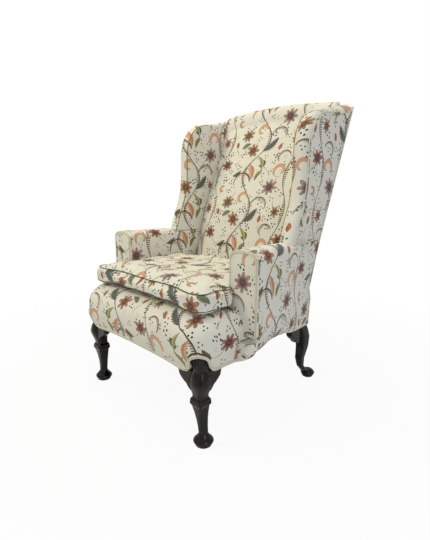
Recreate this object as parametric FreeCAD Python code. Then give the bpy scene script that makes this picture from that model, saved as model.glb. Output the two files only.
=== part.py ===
# Wingback armchair on carved cabriole legs, in millimetres.
# The chair faces -Y, +Z is up, and the origin lies on the floor under the middle of the chair.
# "Left" is the left hand of someone who sits in the chair, which is the +X side.
import FreeCAD, Part
import math
import os

from FreeCAD import Vector

# Place of the origin between the front of the seat and the back of the crest
origin_shift_y = 15.5

# Front legs
front_foot_x = 324.0
front_foot_y = -340.0
foot_pad_radius = 34.0
foot_base_radius = 25.0
foot_pad_height = 17.0
ankle_height = 42.0
ankle_half = 15.0
collar_bottom = 142.0
collar_top = 168.0
collar_half = 27.0
knee_height = 222.0
knee_half = 33.0
leg_block = 50.0
leg_corner_radius = 26.0

# Shell carved on each front knee
shell_ribs = 7
shell_focus_height = 238.0
shell_length = 70.0
shell_spread = 62.0
shell_rib_radius = 5.2

# Rear legs
rear_foot_x = 266.0
rear_foot_y = 326.0
rear_pad_radius = 30.0
rear_ankle_half = 13.0
rear_ankle_height = 62.0
rear_ankle_y = 268.0
rear_knee_height = 200.0
rear_knee_y = 272.0

# Seat frame
seat_front_y = -376.0
seat_corner_x = 350.0
seat_rear_x = 297.0
seat_rear_y = 266.0
cloth_and_wadding = 4.0
rail_bottom = 262.0
rail_top = 365.0
rail_thickness = 30.0
side_rail_arch = 24.0
bracket_thickness = 26.0
front_bracket_length = 78.0
side_bracket_length = 62.0
rear_bracket_length = 55.0
bracket_height = 74.0
corner_block_leg = 62.0
corner_block_height = 42.0

# Back
back_foot_z = 270.0
back_bend_y = 246.0
back_bend_z = 448.0
back_rake = 15.15
crest_height = 1162.0
crest_stuffing = 54.0
corner_rise = 14.0
outer_lean = 0.0636
post_width = 40.0
post_depth = 34.0
crest_rail_height = 48.0
tack_rail_height = 40.0
tack_rail_bottom = 452.0
outside_back_skin = 5.0
back_pad_depth = 106.0
back_pad_crown = 16.0
back_pad_bottom = 426.0
back_pad_taper = 104.0

# Arms
arm_front_y = -197.0
arm_panel = 8.0
arm_inner_x = 296.0
arm_outer_x = 420.0
arm_height = 628.0
arm_shoulder_z = 600.0
arm_panel_bottom = 346.0
arm_pad = 26.0
arm_skin = 6.0
arm_rail_height = 22.0
arm_post_depth = 40.0
arm_belly_reach = 38.0
arm_pad_rear_y = 165.0
arm_base_margin = 8.0

# Wings
wing_inner_x = 296.0
wing_overhang = 0.8128
wing_border = 15.0
wing_fall = 30.0
wing_pad = 16.0
wing_skin = 6.0
wing_post_depth = 30.0
wing_post_thickness = 22.0
wing_seam_z = 618.0
wing_foot_y = 46.0
wing_sweep = 71.0
wing_drop = 4.0
wing_shoulder_y = 190.0
wing_ridge_y = 270.0

# Seat and loose cushion
webbing_width = 50.0
webbing_thickness = 1.5
hessian_thickness = 1.0
roll_depth = 42.0
cushion_clearance = 3.0
seat_gap = 0.3
cushion_front_y = -352.0
cushion_ear_x = 326.0
cushion_rear_gap = 5.0
cushion_bottom = 430.0
cushion_seam_low = 442.0
cushion_seam_high = 494.0
cushion_top = 520.0
cushion_corner = 46.0
cushion_draw_in = 5.0

# Sizes that follow from those above
back_top_z = crest_height - crest_stuffing
outer_corner_z = back_top_z + corner_rise
wing_top_z = back_top_z - wing_drop
wing_outer_x = seat_rear_x + (outer_corner_z - back_foot_z) * outer_lean + wing_overhang
deck_top = cushion_bottom - seat_gap
roll_top = cushion_bottom - seat_gap
cushion_rear_y = back_bend_y - back_pad_depth - cushion_rear_gap

# Neighbours that share less room than this, in cubic millimetres, only touch
least_overlap = 0.5


# Small helpers

def arc(a, b, c):
    # An arc through three points, or a straight edge where they lie in line
    if (b - a).cross(c - b).Length < 1e-3:
        return Part.makeLine(a, c)
    return Part.Arc(a, b, c).toShape()


def line(a, b):
    return Part.makeLine(a, b)


def polygon(points):
    return Part.makePolygon(points + [points[0]])


def plate(points, push):
    return Part.Face(polygon(points)).extrude(push)


def loft(wires, ruled=True):
    return Part.makeLoft(wires, True, ruled)


def block(x0, x1, y0, y1, z0, z1):
    return Part.makeBox(x1 - x0, y1 - y0, z1 - z0, Vector(x0, y0, z0))


def mirrored(shape):
    return shape.mirror(Vector(0, 0, 0), Vector(1, 0, 0))


def largest(shape, cutters):
    # What is left of a piece once its neighbours have taken their room
    for cutter in cutters:
        if not shape.BoundBox.intersect(cutter.BoundBox):
            continue
        if shape.common(cutter).Volume > least_overlap:
            shape = shape.cut(cutter)
    return max(shape.Solids, key=lambda s: s.Volume)


def blend(a, b, t):
    return a + (b - a) * t


def rounded_square(cx, cy, half, radius, z):
    # A square with each corner rounded in three flats
    points = []
    for sx, sy, start in ((1, 1, 0), (-1, 1, 90), (-1, -1, 180), (1, -1, 270)):
        for step in range(4):
            a = math.radians(start + 30 * step)
            points.append(Vector(cx + sx * (half - radius) + radius * math.cos(a),
                                 cy + sy * (half - radius) + radius * math.sin(a), z))
    return polygon(points)


def stack(rows):
    # Each row is centre x, centre y, half width, corner radius, height
    return loft([rounded_square(*row) for row in rows])


def back_line(z):
    # Rear face of the chair: upright near the floor, then raked
    if z <= back_bend_z:
        return blend(seat_rear_y, back_bend_y, (z - back_foot_z) / (back_bend_z - back_foot_z))
    return back_bend_y + (z - back_bend_z) * math.tan(math.radians(back_rake))


def outer_edge(z):
    # Half width of the back at its outer rear corner
    return seat_rear_x + (z - back_foot_z) * outer_lean


# Front legs: pad foot, tapered shank, collar, knee with its carved shell, square block

def pad_foot(x, y, base, pad, neck, neck_z):
    # Turned foot: small base, full round pad, hollow up to the ankle
    z = foot_pad_height
    profile = [(0, 0), (base, 0), (base + 3, z * 0.18), (base + 2, z * 0.36),
               (pad - 2.5, z * 0.62), (pad, z), (pad - 2, z * 1.3), (pad - 8, z * 1.65),
               (neck + 4, blend(z * 1.65, neck_z, 0.5)), (neck, neck_z), (0, neck_z)]
    wire = polygon([Vector(r, 0, h) for r, h in profile])
    foot = Part.Face(wire).revolve(Vector(0, 0, 0), Vector(0, 0, 1), 360)
    foot.translate(Vector(x, y, 0))
    return foot


def front_block_centre():
    outer_x = seat_corner_x - cloth_and_wadding
    outer_y = seat_front_y + cloth_and_wadding
    return outer_x - leg_block / 2, outer_y + leg_block / 2


def rib_ring(centre, across, out, size):
    # Four-sided section of one shell rib, with its ridge outwards
    return polygon([centre + out * size, centre + across * size, centre - out * size,
                    centre - across * size])


def shell_ribs_solid(x, y, reach):
    # A fan of tapered ribs on the outer diagonal of the knee
    ribs = []
    out = Vector(math.sqrt(0.5), -math.sqrt(0.5), 0)
    side = Vector(math.sqrt(0.5), math.sqrt(0.5), 0)
    focus = Vector(x, y, shell_focus_height) + out * reach
    for i in range(shell_ribs):
        turn = math.radians(blend(-shell_spread / 2, shell_spread / 2, i / (shell_ribs - 1)))
        drop = 1 - math.cos(turn * 1.6)
        way = Vector(0, 0, math.cos(turn)) + side * math.sin(turn) - out * drop
        way.normalize()
        across = way.cross(out)
        across.normalize()
        ribs.append(loft([rib_ring(focus, across, out, 1.2),
                          rib_ring(focus + way * shell_length, across, out,
                                   shell_rib_radius)]))
    return ribs


def front_leg():
    bx, by = front_block_centre()
    foot = pad_foot(front_foot_x, front_foot_y, foot_base_radius, foot_pad_radius,
                    ankle_half + 1, ankle_height)
    shank_x = front_foot_x - 6
    shank_y = front_foot_y - 6
    knee_x = front_foot_x + 1
    knee_y = front_foot_y - 11
    rows = []
    steps = 4
    for i in range(steps + 1):
        t = i / steps
        rows.append((blend(front_foot_x, shank_x, math.sin(t * math.pi / 2)),
                     blend(front_foot_y, shank_y, t * t),
                     ankle_half + (collar_half - 4 - ankle_half) * t ** 2.2,
                     blend(ankle_half - 2, 8, t), blend(ankle_height, collar_bottom, t)))
    swell = leg_block / 2
    arch = rail_bottom + 14
    rows += [
        (shank_x, shank_y, collar_half, 7, collar_bottom + 6),
        (shank_x, shank_y, collar_half - 1, 8, collar_top - 5),
        (shank_x, shank_y, collar_half - 6, 9, collar_top + 2),
        (shank_x + 1, shank_y - 1, collar_half - 5, 12, collar_top + 11),
        (knee_x - 1, knee_y + 1, knee_half - 2, knee_half - 9,
         blend(collar_top, knee_height, 0.78)),
        (knee_x, knee_y, knee_half, knee_half - 6, knee_height),
        (knee_x - 1, knee_y + 2, knee_half - 2, knee_half - 7,
         blend(knee_height, rail_bottom, 0.5)),
        (bx + 2, by - 1, swell, leg_corner_radius - 3, rail_bottom),
        (bx, by, swell - 1, leg_corner_radius - 4, arch),
    ]
    r = leg_corner_radius - 4
    k = r * (1 - math.sqrt(0.5))
    outline = Part.Wire([
        line(Vector(bx - swell, by + swell, arch), Vector(bx - swell, by - swell, arch)),
        line(Vector(bx - swell, by - swell, arch), Vector(bx + swell - r, by - swell, arch)),
        arc(Vector(bx + swell - r, by - swell, arch), Vector(bx + swell - k, by - swell + k, arch),
            Vector(bx + swell, by - swell + r, arch)),
        line(Vector(bx + swell, by - swell + r, arch), Vector(bx + swell, by + swell, arch)),
        line(Vector(bx + swell, by + swell, arch), Vector(bx - swell, by + swell, arch)),
    ])
    top = Part.Face(outline).extrude(Vector(0, 0, rail_top - arch))
    leg = foot.fuse([stack(rows), top])
    return leg.fuse(shell_ribs_solid(bx, by, swell * 1.08))


def bracket_outline(length, at_x, z_top):
    # Knee bracket seen square on: a long cyma under the rail
    foot_z = z_top - bracket_height
    p0 = Vector(at_x, 0, z_top)
    p1 = Vector(at_x, 0, foot_z)
    p2 = Vector(at_x - length * 0.42, 0, blend(foot_z, z_top, 0.28))
    m12 = Vector(at_x - length * 0.25, 0, blend(foot_z, z_top, 0.08))
    p3 = Vector(at_x - length * 0.78, 0, blend(foot_z, z_top, 0.62))
    m23 = Vector(at_x - length * 0.66, 0, blend(foot_z, z_top, 0.46))
    p4 = Vector(at_x - length, 0, z_top)
    m34 = Vector(at_x - length * 0.84, 0, blend(foot_z, z_top, 0.86))
    return Part.Wire([line(p0, p1), arc(p1, m12, p2), arc(p2, m23, p3), arc(p3, m34, p4),
                      line(p4, p0)])


def front_bracket(leg):
    bx, by = front_block_centre()
    wire = bracket_outline(front_bracket_length + leg_block / 2, bx, rail_bottom)
    solid = Part.Face(wire).extrude(Vector(0, bracket_thickness, 0))
    solid.translate(Vector(0, by - leg_block / 2, 0))
    return solid.cut(leg)


def side_bracket(leg):
    bx, by = front_block_centre()
    wire = bracket_outline(side_bracket_length + leg_block / 2, 0, rail_bottom)
    solid = Part.Face(wire).extrude(Vector(0, bracket_thickness, 0))
    solid.rotate(Vector(0, 0, 0), Vector(0, 0, 1), -90)
    lean = math.degrees(math.atan2(seat_corner_x - seat_rear_x, seat_rear_y - seat_front_y))
    solid.rotate(Vector(0, 0, 0), Vector(0, 0, 1), lean)
    solid.translate(Vector(bx + leg_block / 2 - bracket_thickness, by, 0))
    return solid.cut(leg)


# Rear legs: pad foot swept back, shaped shank, square block in the frame

def rear_block_centre():
    outer_x = seat_rear_x - cloth_and_wadding
    outer_y = seat_rear_y - cloth_and_wadding
    return outer_x - leg_block / 2, outer_y - leg_block / 2


def rear_leg():
    bx, by = rear_block_centre()
    top_z = ankle_height - 8
    foot = pad_foot(rear_foot_x, rear_foot_y, foot_base_radius - 4, rear_pad_radius,
                    rear_ankle_half + 2, top_z)
    half = leg_block / 2
    shank = stack([
        (rear_foot_x, rear_foot_y - 2, rear_ankle_half - 1, 9, foot_pad_height),
        (rear_foot_x, blend(rear_foot_y, rear_ankle_y, 0.55), rear_ankle_half, 10, top_z + 4),
        (rear_foot_x, rear_ankle_y, rear_ankle_half, 8, rear_ankle_height + 4),
        (rear_foot_x + 2, rear_ankle_y - 9, rear_ankle_half + 3, 7, 104),
        (rear_foot_x + 4, rear_knee_y - 2, rear_ankle_half + 8, 8, 156),
        (bx, rear_knee_y, half - 1, 9, rear_knee_height),
        (bx, rear_knee_y - 12, half - 1, 9, rear_knee_height + 32),
        (bx, by, half - 1, 6, back_foot_z),
    ])
    top = block(bx - half, bx + half, by - half, by + half, back_foot_z, rail_top)
    return foot.fuse([shank, top])


def rear_bracket(leg):
    bx, by = rear_block_centre()
    wire = bracket_outline(rear_bracket_length + leg_block / 2, 0, rail_bottom)
    solid = Part.Face(wire).extrude(Vector(0, bracket_thickness, 0))
    solid.rotate(Vector(0, 0, 0), Vector(0, 0, 1), 90)
    lean = math.degrees(math.atan2(seat_corner_x - seat_rear_x, seat_rear_y - seat_front_y))
    solid.rotate(Vector(0, 0, 0), Vector(0, 0, 1), lean)
    solid.translate(Vector(bx + leg_block / 2 - 1, by - leg_block / 2 + 6, 0))
    return solid.cut(leg)


# Seat frame

def front_rail():
    bx = front_block_centre()[0] - leg_block / 2
    y0 = seat_front_y + cloth_and_wadding
    return block(-bx, bx, y0, y0 + rail_thickness, rail_bottom, rail_top)


def side_face(y, inset):
    # A point of the side rail's outer face in plan, moved inwards
    t = (y - seat_front_y) / (seat_rear_y - seat_front_y)
    return Vector(blend(seat_corner_x, seat_rear_x, t) - inset, y, rail_bottom)


def side_rail():
    # Between the leg blocks, with its lower edge hollowed
    front_y = front_block_centre()[1] + leg_block / 2
    rear_y = rear_block_centre()[1] - leg_block / 2
    near = cloth_and_wadding
    far = cloth_and_wadding + rail_thickness
    board = plate([side_face(front_y, near), side_face(rear_y, near), side_face(rear_y, far),
                   side_face(front_y, far)], Vector(0, 0, rail_top - rail_bottom))
    start = Vector(0, front_y + side_bracket_length + 40, rail_bottom - 1)
    end = Vector(0, rear_y - side_bracket_length, rail_bottom - 1)
    crown = Vector(0, blend(start.y, end.y, 0.5), rail_bottom + side_rail_arch)
    hollow = Part.Face(Part.Wire([arc(start, crown, end), line(end, start)]))
    return board.cut(hollow.extrude(Vector(seat_corner_x + 50, 0, 0)))


def rear_rail():
    bx = rear_block_centre()[0] - leg_block / 2
    y1 = back_line(rail_top) - outside_back_skin
    return block(-bx, bx, y1 - rail_thickness, y1, back_foot_z, rail_top)


def corner_blocks(cutters):
    fx = seat_corner_x - cloth_and_wadding - leg_block
    fy = seat_front_y + cloth_and_wadding + rail_thickness
    rx = seat_rear_x - cloth_and_wadding - leg_block
    ry = back_line(rail_top) - outside_back_skin - rail_thickness
    z0 = rail_bottom + 30
    blocks = []
    for x, y, way in ((fx, fy, 1), (rx, ry, -1)):
        points = [Vector(x + rail_thickness, y, z0), Vector(x - corner_block_leg, y, z0),
                  Vector(x + rail_thickness, y + way * (corner_block_leg + leg_block), z0)]
        solid = plate(points, Vector(0, 0, corner_block_height))
        blocks.append(largest(solid, cutters))
    return blocks


# Back frame

def back_post():
    rows = []
    for z in (rail_top, back_bend_z, back_top_z):
        x1 = outer_edge(z) - cloth_and_wadding
        y1 = back_line(z) - outside_back_skin
        rows.append(polygon([Vector(x1 - post_width, y1 - post_depth, z),
                             Vector(x1, y1 - post_depth, z), Vector(x1, y1, z),
                             Vector(x1 - post_width, y1, z)]))
    return loft(rows)


def raked_board(z0, z1, depth, half, posts):
    rows = []
    for z in (z0, z1):
        y1 = back_line(z) - outside_back_skin
        rows.append(polygon([Vector(-half, y1 - depth, z), Vector(half, y1 - depth, z),
                             Vector(half, y1, z), Vector(-half, y1, z)]))
    board = loft(rows)
    return largest(board, posts)


# Arm and wing outlines

def arm_outer(y):
    # Outer face of the arm in plan: flared towards the front
    t = (y - arm_front_y) / (back_bend_y - arm_front_y)
    return blend(arm_outer_x, outer_edge(back_bend_z), t)


def arm_base(y):
    # Lower edge of the outer arm: half width and height
    t = (y - arm_front_y) / (seat_rear_y - arm_front_y)
    x = blend(seat_corner_x + arm_base_margin, seat_rear_x, t)
    z = rail_bottom + 6 + side_rail_arch * math.sin(math.pi * min(1, max(0, t * 0.9 + 0.1)))
    return x, z


def outside_arm_section(y, inset):
    base_x, base_z = arm_base(y)
    out = arm_outer(y) - inset
    x0 = base_x - inset
    mid_z = arm_panel_bottom + 6
    swell = blend(x0, out, 0.72)
    return [Vector(x0, y, base_z), Vector(swell, y, blend(base_z, mid_z, 0.45)),
            Vector(out, y, mid_z), Vector(out, y, wing_seam_z)]


def outside_arm(cutters):
    rows = []
    for y in (arm_front_y + arm_panel, -60, 60, 160, seat_rear_y - outside_back_skin):
        o = outside_arm_section(y, 0)
        i = outside_arm_section(y, arm_skin)
        rows.append(Part.Wire([arc(o[0], o[1], o[2]), line(o[2], o[3]), line(o[3], i[3]),
                               line(i[3], i[2]), arc(i[2], i[1], i[0]), line(i[0], o[0])]))
    solid = loft(rows)
    solid = solid.cut(block(0, arm_outer_x + 9, arm_front_y, wing_foot_y, arm_shoulder_z,
                            wing_seam_z + 9))
    return largest(solid, cutters)


def arm_belly(cutters):
    # Rounded nose of the outer arm, in front of and under the arm panel
    rear = arm_front_y + arm_panel
    o = outside_arm_section(rear, 0)
    inner = seat_corner_x - arm_base_margin
    side = seat_corner_x + arm_base_margin
    rows = []
    for reach, share in ((arm_belly_reach, 0.05), (arm_belly_reach * 0.75, 0.55),
                         (arm_belly_reach * 0.35, 0.86), (-arm_panel, 1)):
        y = arm_front_y - reach
        low, swell, out = [Vector(blend(side, q.x, share), y, q.z) for q in o[:3]]
        top = arm_panel_bottom - (1 - share) * arm_belly_reach * 0.8
        out.z = top
        swell.z = blend(low.z, top, 0.45)
        rows.append(Part.Wire([arc(low, swell, out), line(out, Vector(inner, y, top)),
                               line(Vector(inner, y, top), Vector(inner, y, low.z)),
                               line(Vector(inner, y, low.z), low)]))
    return largest(loft(rows), cutters)


def arm_front_outline(y, x0, x1, z0, z1, shoulder):
    k = (x1 - x0) * 0.22
    a = Vector(x0, y, z0)
    b = Vector(x1, y, z0)
    c = Vector(x1, y, shoulder - 6)
    d = Vector(x1 - k, y, blend(shoulder, z1, 0.75))
    e = Vector(x0 + k, y, blend(shoulder, z1, 0.75))
    f = Vector(x0, y, shoulder - 6)
    cd = Vector(x1 - k * 0.22, y, blend(c.z, d.z, 0.62))
    ef = Vector(x0 + k * 0.22, y, blend(c.z, d.z, 0.62))
    top = Vector((x0 + x1) / 2, y, z1)
    return Part.Wire([line(a, b), line(b, c), arc(c, cd, d), arc(d, top, e), arc(e, ef, f),
                      line(f, a)])


def arm_front():
    y = arm_front_y
    back = arm_front_outline(y + arm_panel, arm_inner_x, arm_outer_x, arm_panel_bottom,
                             arm_height, arm_shoulder_z)
    front = arm_front_outline(y, arm_inner_x + 4, arm_outer_x - 4, arm_panel_bottom + 3,
                              arm_height - 4, arm_shoulder_z)
    return loft([front, back])


def inside_arm(cutters):
    # An inverted J: the pad of the inner face, carried over the top of the arm
    low = rail_top + 8
    under = arm_shoulder_z + 7
    inner = arm_inner_x + arm_pad
    rows = []
    for share, drop in ((0, 0), (0.5, 1), (0.8, 4), (1, 10)):
        y = blend(arm_front_y + arm_panel, wing_foot_y, share)
        x1 = arm_outer(y)
        z1 = arm_height - drop
        shoulder = arm_shoulder_z
        k = (x1 - arm_inner_x) * 0.22
        high = blend(shoulder, z1, 0.75)
        a = Vector(arm_inner_x, y, low)
        b = Vector(arm_inner_x, y, shoulder - 6)
        c = Vector(arm_inner_x + k, y, high)
        bc = Vector(arm_inner_x + k * 0.22, y, blend(b.z, high, 0.62))
        top = Vector((x1 + arm_inner_x) / 2, y, z1)
        d = Vector(x1 - k, y, high)
        e = Vector(x1, y, shoulder)
        de = Vector(x1 - k * 0.22, y, blend(shoulder, high, 0.55))
        f = Vector(x1 - arm_skin, y, shoulder)
        g = Vector(x1 - arm_skin, y, under)
        h = Vector(inner, y, under)
        i = Vector(inner, y, low)
        rows.append(Part.Wire([line(a, b), arc(b, bc, c), arc(c, top, d), arc(d, de, e),
                               line(e, f), line(f, g), line(g, h), line(h, i), line(i, a)]))
    y0 = wing_foot_y
    y1 = arm_pad_rear_y
    wall = block(arm_inner_x, inner, y0, y1, low, under)
    cap = plate([Vector(arm_inner_x, y0, under), Vector(arm_outer(y0) - arm_skin, y0, under),
                 Vector(arm_outer(y1) - arm_skin, y1, under), Vector(arm_inner_x, y1, under)],
                Vector(0, 0, wing_seam_z - under))
    solid = loft(rows).fuse([wall, cap])
    return largest(solid, cutters)


def wing_front(z):
    # Front edge of the wing: sweeps forward to the arm, upright above
    t = (z - wing_seam_z) / (wing_top_z - wing_seam_z)
    return wing_foot_y + wing_sweep * math.sin(min(1.0, t * 1.92) * math.pi / 2)


def wing_outline(x, inset, z0):
    # Closed outline of the wing at one plane, moved inwards by inset
    def p(y, z):
        return Vector(x, y, z)

    def front(z):
        return wing_front(z) + inset

    def up(share):
        return blend(wing_seam_z, wing_top_z, share)

    top = wing_top_z - inset
    upright_y = wing_foot_y + wing_sweep
    rear_low = back_line(z0) - outside_back_skin
    rear_high = back_line(outer_corner_z) - outside_back_skin
    a = p(front(z0), z0)
    b = p(front(up(0.37)), up(0.37))
    c = p(front(up(0.74)), up(0.74))
    curl = p(blend(upright_y, wing_shoulder_y, 0.23) + inset * 0.85, up(0.893) - inset * 0.6)
    d = p(wing_shoulder_y + inset * 0.6, top - 12)
    e = p(wing_ridge_y, top)
    f = p(rear_high, outer_corner_z + 14 - inset)
    g = p(rear_low, z0)
    edges = [
        arc(a, p(front(up(0.18)), up(0.18)), b),
        arc(b, p(front(up(0.56)), up(0.56)), c),
        arc(c, curl, d),
        arc(d, p(blend(d.y, e.y, 0.48), top - 2), e),
        arc(e, p(blend(e.y, f.y, 0.53), top + 8), f),
        line(f, g),
        line(g, a),
    ]
    return Part.Wire(edges)


def wing_envelope():
    x1 = wing_outer_x
    return loft([
        wing_outline(wing_inner_x, 0, wing_seam_z),
        wing_outline(blend(wing_inner_x, x1, 0.55), wing_fall * 0.25, wing_seam_z),
        wing_outline(x1, wing_fall, wing_seam_z),
    ])


def wing_core():
    # What the front and top border wraps round
    x1 = wing_outer_x
    low = wing_seam_z - 1
    lip = 2
    return loft([
        wing_outline(wing_inner_x - 1, lip, low),
        wing_outline(wing_inner_x + 8, wing_border, low),
        wing_outline(blend(wing_inner_x, x1, 0.55), wing_border + wing_fall * 0.25, low),
        wing_outline(x1 - 8, wing_border + wing_fall * 0.7, low),
        wing_outline(x1 + 1, wing_fall + lip, low),
    ])


def side_clip(inset):
    # Everything inside the outer face of the wing
    rows = []
    for z in (wing_seam_z - 10, wing_seam_z + 240, crest_height + 10):
        front = wing_outer_x + 6
        rear = outer_edge(z)
        rows.append(polygon([Vector(0, -40, z), Vector(front - inset, -40, z),
                             Vector(rear - inset, back_line(z), z),
                             Vector(0, back_line(z), z)]))
    return loft(rows)


def wing_parts(cutters):
    clip = side_clip(0)
    envelope = wing_envelope().common(clip)
    core = wing_core()
    border = envelope.cut(core)
    inner = envelope.common(core)
    skin = inner.cut(side_clip(wing_skin))
    pad = inner.common(block(wing_inner_x - 1, wing_inner_x + wing_pad, -50, 600,
                             wing_seam_z, crest_height))
    found = []
    for solid in (border, skin, pad):
        found.append(largest(solid, cutters))
    return found


# Arm and wing frame

def arm_post(rail):
    x0 = arm_inner_x + arm_pad
    y0 = arm_front_y + arm_panel
    top = arm_shoulder_z - arm_rail_height + 7
    low_out = arm_base(y0)[0] - arm_skin - 2
    high_out = arm_outer(y0 + arm_post_depth) - arm_skin - 2
    rows = []
    for z, x1 in ((rail_top, low_out), (arm_panel_bottom + 30, blend(low_out, high_out, 0.5)),
                  (top, high_out)):
        rows.append(polygon([Vector(x0, y0, z), Vector(x1, y0, z),
                             Vector(x1, y0 + arm_post_depth, z),
                             Vector(x0, y0 + arm_post_depth, z)]))
    return loft(rows).cut(rail)


def arm_rail(post):
    x0 = arm_inner_x + arm_pad
    y0 = arm_front_y + arm_panel
    z1 = arm_shoulder_z + 7
    y1 = back_line(z1) - outside_back_skin
    out0 = arm_outer(y0) - arm_skin - 2
    out1 = arm_outer(y1) - arm_skin - 2
    inner_rear = outer_edge(z1) - cloth_and_wadding - post_width
    lift = Vector(0, 0, z1 - arm_rail_height)
    board = plate([Vector(x0, y0, 0) + lift, Vector(out0, y0, 0) + lift,
                   Vector(out1 - 4, y1, 0) + lift, Vector(inner_rear, y1, 0) + lift,
                   Vector(x0, 120, 0) + lift], Vector(0, 0, arm_rail_height))
    return largest(board, [post])


def arm_tack_rail(cutters):
    x0 = arm_inner_x + arm_pad
    y0 = arm_front_y + arm_panel + arm_post_depth
    y1 = back_line(tack_rail_bottom) - outside_back_skin
    rear_x = outer_edge(tack_rail_bottom) - cloth_and_wadding - post_width
    z0 = tack_rail_bottom
    board = plate([Vector(x0, y0, z0), Vector(x0 + 20, y0, z0), Vector(rear_x + 34, y1, z0),
                   Vector(rear_x + 14, y1, z0)], Vector(0, 0, 24))
    return largest(board, cutters)


def wing_post_top():
    return wing_top_z - 70


def wing_post():
    x0 = wing_inner_x + wing_pad
    x1 = x0 + wing_post_thickness
    z0 = arm_shoulder_z + 7
    rows = []
    for share in (0, 0.2, 0.4, 0.64, 1):
        z = blend(z0, wing_post_top(), share)
        y0 = wing_front(max(z, wing_seam_z)) + wing_border + wing_fall * 0.6
        rows.append(polygon([Vector(x0, y0, z), Vector(x1, y0, z),
                             Vector(x1, y0 + wing_post_depth, z),
                             Vector(x0, y0 + wing_post_depth, z)]))
    return loft(rows)


def wing_rail(cutters):
    x0 = wing_inner_x + wing_pad
    z0 = wing_post_top()
    y0 = wing_front(z0) + wing_border + wing_fall * 0.6
    y1 = back_line(z0 + 52) - outside_back_skin
    points = [Vector(x0, y0, z0), Vector(x0, y0 + 66, z0 + 28), Vector(x0, y1, z0 + 50),
              Vector(x0, y1, z0 + 22), Vector(x0, y0 + 74, z0 - 2),
              Vector(x0, y0 + wing_post_depth, z0 - 22)]
    board = plate(points, Vector(wing_post_thickness, 0, 0))
    return largest(board, cutters)


# Seat upholstery

def seat_plan(z, side, front, radius, flare):
    # Plan of the seat cover at one height: straight sides, rounded front corners
    k = radius * (1 - math.sqrt(0.5))
    back = arm_front_y + arm_panel
    points = []
    for s in (1, -1):
        points.append([Vector(s * (side + flare), back, z), Vector(s * side, front + radius, z),
                       Vector(s * (side - k), front + k, z),
                       Vector(s * (side - radius), front, z)])
    r, l = points
    return Part.Wire([line(r[0], r[1]), arc(r[1], r[2], r[3]), line(r[3], l[3]),
                      arc(l[3], l[2], l[1]), line(l[1], l[0]), line(l[0], r[0])])


def knee_arch():
    # Opening in the lower edge of the cover, over one front knee
    def p(s, z):
        return Vector(s, 0, z)

    peak = rail_bottom + 50
    low = rail_bottom - 12
    valley = rail_bottom - 2
    wire = Part.Wire([
        line(p(-66, low), p(50, low)),
        line(p(50, low), p(50, valley)),
        arc(p(50, valley), p(36, valley + 12), p(27, valley + 30)),
        arc(p(27, valley + 30), p(0, peak), p(-27, valley + 30)),
        arc(p(-27, valley + 30), p(-40, valley + 12), p(-66, valley)),
        line(p(-66, valley), p(-66, low)),
    ])
    cutter = Part.Face(wire).extrude(Vector(0, 160, 0))
    cutter.translate(Vector(0, -100, 0))
    cutter.rotate(Vector(0, 0, 0), Vector(0, 0, 1), 45)
    bx, by = front_block_centre()
    cutter.translate(Vector(bx, by, 0))
    return cutter


def front_cover(cutters):
    low = rail_bottom - 2
    shell = loft([
        seat_plan(low, seat_corner_x, seat_front_y, 30, 6),
        seat_plan(low + 40, seat_corner_x + 7, seat_front_y - 11, 46, 4),
        seat_plan(low + 84, seat_corner_x + 12, seat_front_y - 20, 72, 0),
        seat_plan(low + 126, seat_corner_x + 8, seat_front_y - 16, 72, 0),
        seat_plan(low + 154, seat_corner_x - 8, seat_front_y + 2, 66, 0),
        seat_plan(roll_top, seat_corner_x - 26, seat_front_y + 24, 52, 0),
    ])
    inner_x = arm_inner_x - 2
    inner_y = seat_front_y + roll_depth
    wood_x = seat_corner_x - cloth_and_wadding
    wood_y = seat_front_y + cloth_and_wadding
    shell = shell.cut(block(-wood_x, wood_x, wood_y, 0, 0, rail_top))
    shell = shell.cut(block(-inner_x, inner_x, inner_y, 0, 0, 600))
    shell = shell.cut(block(-inner_x - 80, inner_x + 80, arm_front_y, 0, arm_panel_bottom, 600))
    arch = knee_arch()
    shell = shell.cut(arch).cut(mirrored(arch))
    return largest(shell, cutters)


def deck_polygon(z, draw_in):
    x0 = arm_inner_x - 2 - draw_in
    y0 = seat_front_y + roll_depth
    return polygon([Vector(-x0, y0, z), Vector(x0, y0, z), Vector(x0 - 30, 120, z),
                    Vector(x0 - 44, 196, z), Vector(-x0 + 44, 196, z),
                    Vector(-x0 + 30, 120, z)])


def seat_deck(cutters):
    base = rail_top + 2 * webbing_thickness + hessian_thickness
    solid = loft([deck_polygon(base, 0), deck_polygon(deck_top - 6, 0),
                  deck_polygon(deck_top, 8)])
    return largest(solid, cutters)


def seat_webbing():
    strips = []
    y0 = seat_front_y + cloth_and_wadding + 6
    y1 = seat_rear_y - cloth_and_wadding - 14
    count = 5
    for i in range(count):
        x = blend(-190, 190, i / (count - 1))
        strips.append(block(x - webbing_width / 2, x + webbing_width / 2, y0, y1, rail_top,
                            rail_top + webbing_thickness))
    top = rail_top + webbing_thickness
    for i in range(count):
        y = blend(-290, 170, i / (count - 1))
        t = (y - seat_front_y) / (seat_rear_y - seat_front_y)
        half = blend(seat_corner_x, seat_rear_x, t) - cloth_and_wadding - 12
        strips.append(block(-half, half, y - webbing_width / 2, y + webbing_width / 2, top,
                            top + webbing_thickness))
    return Part.makeCompound(strips)


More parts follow.
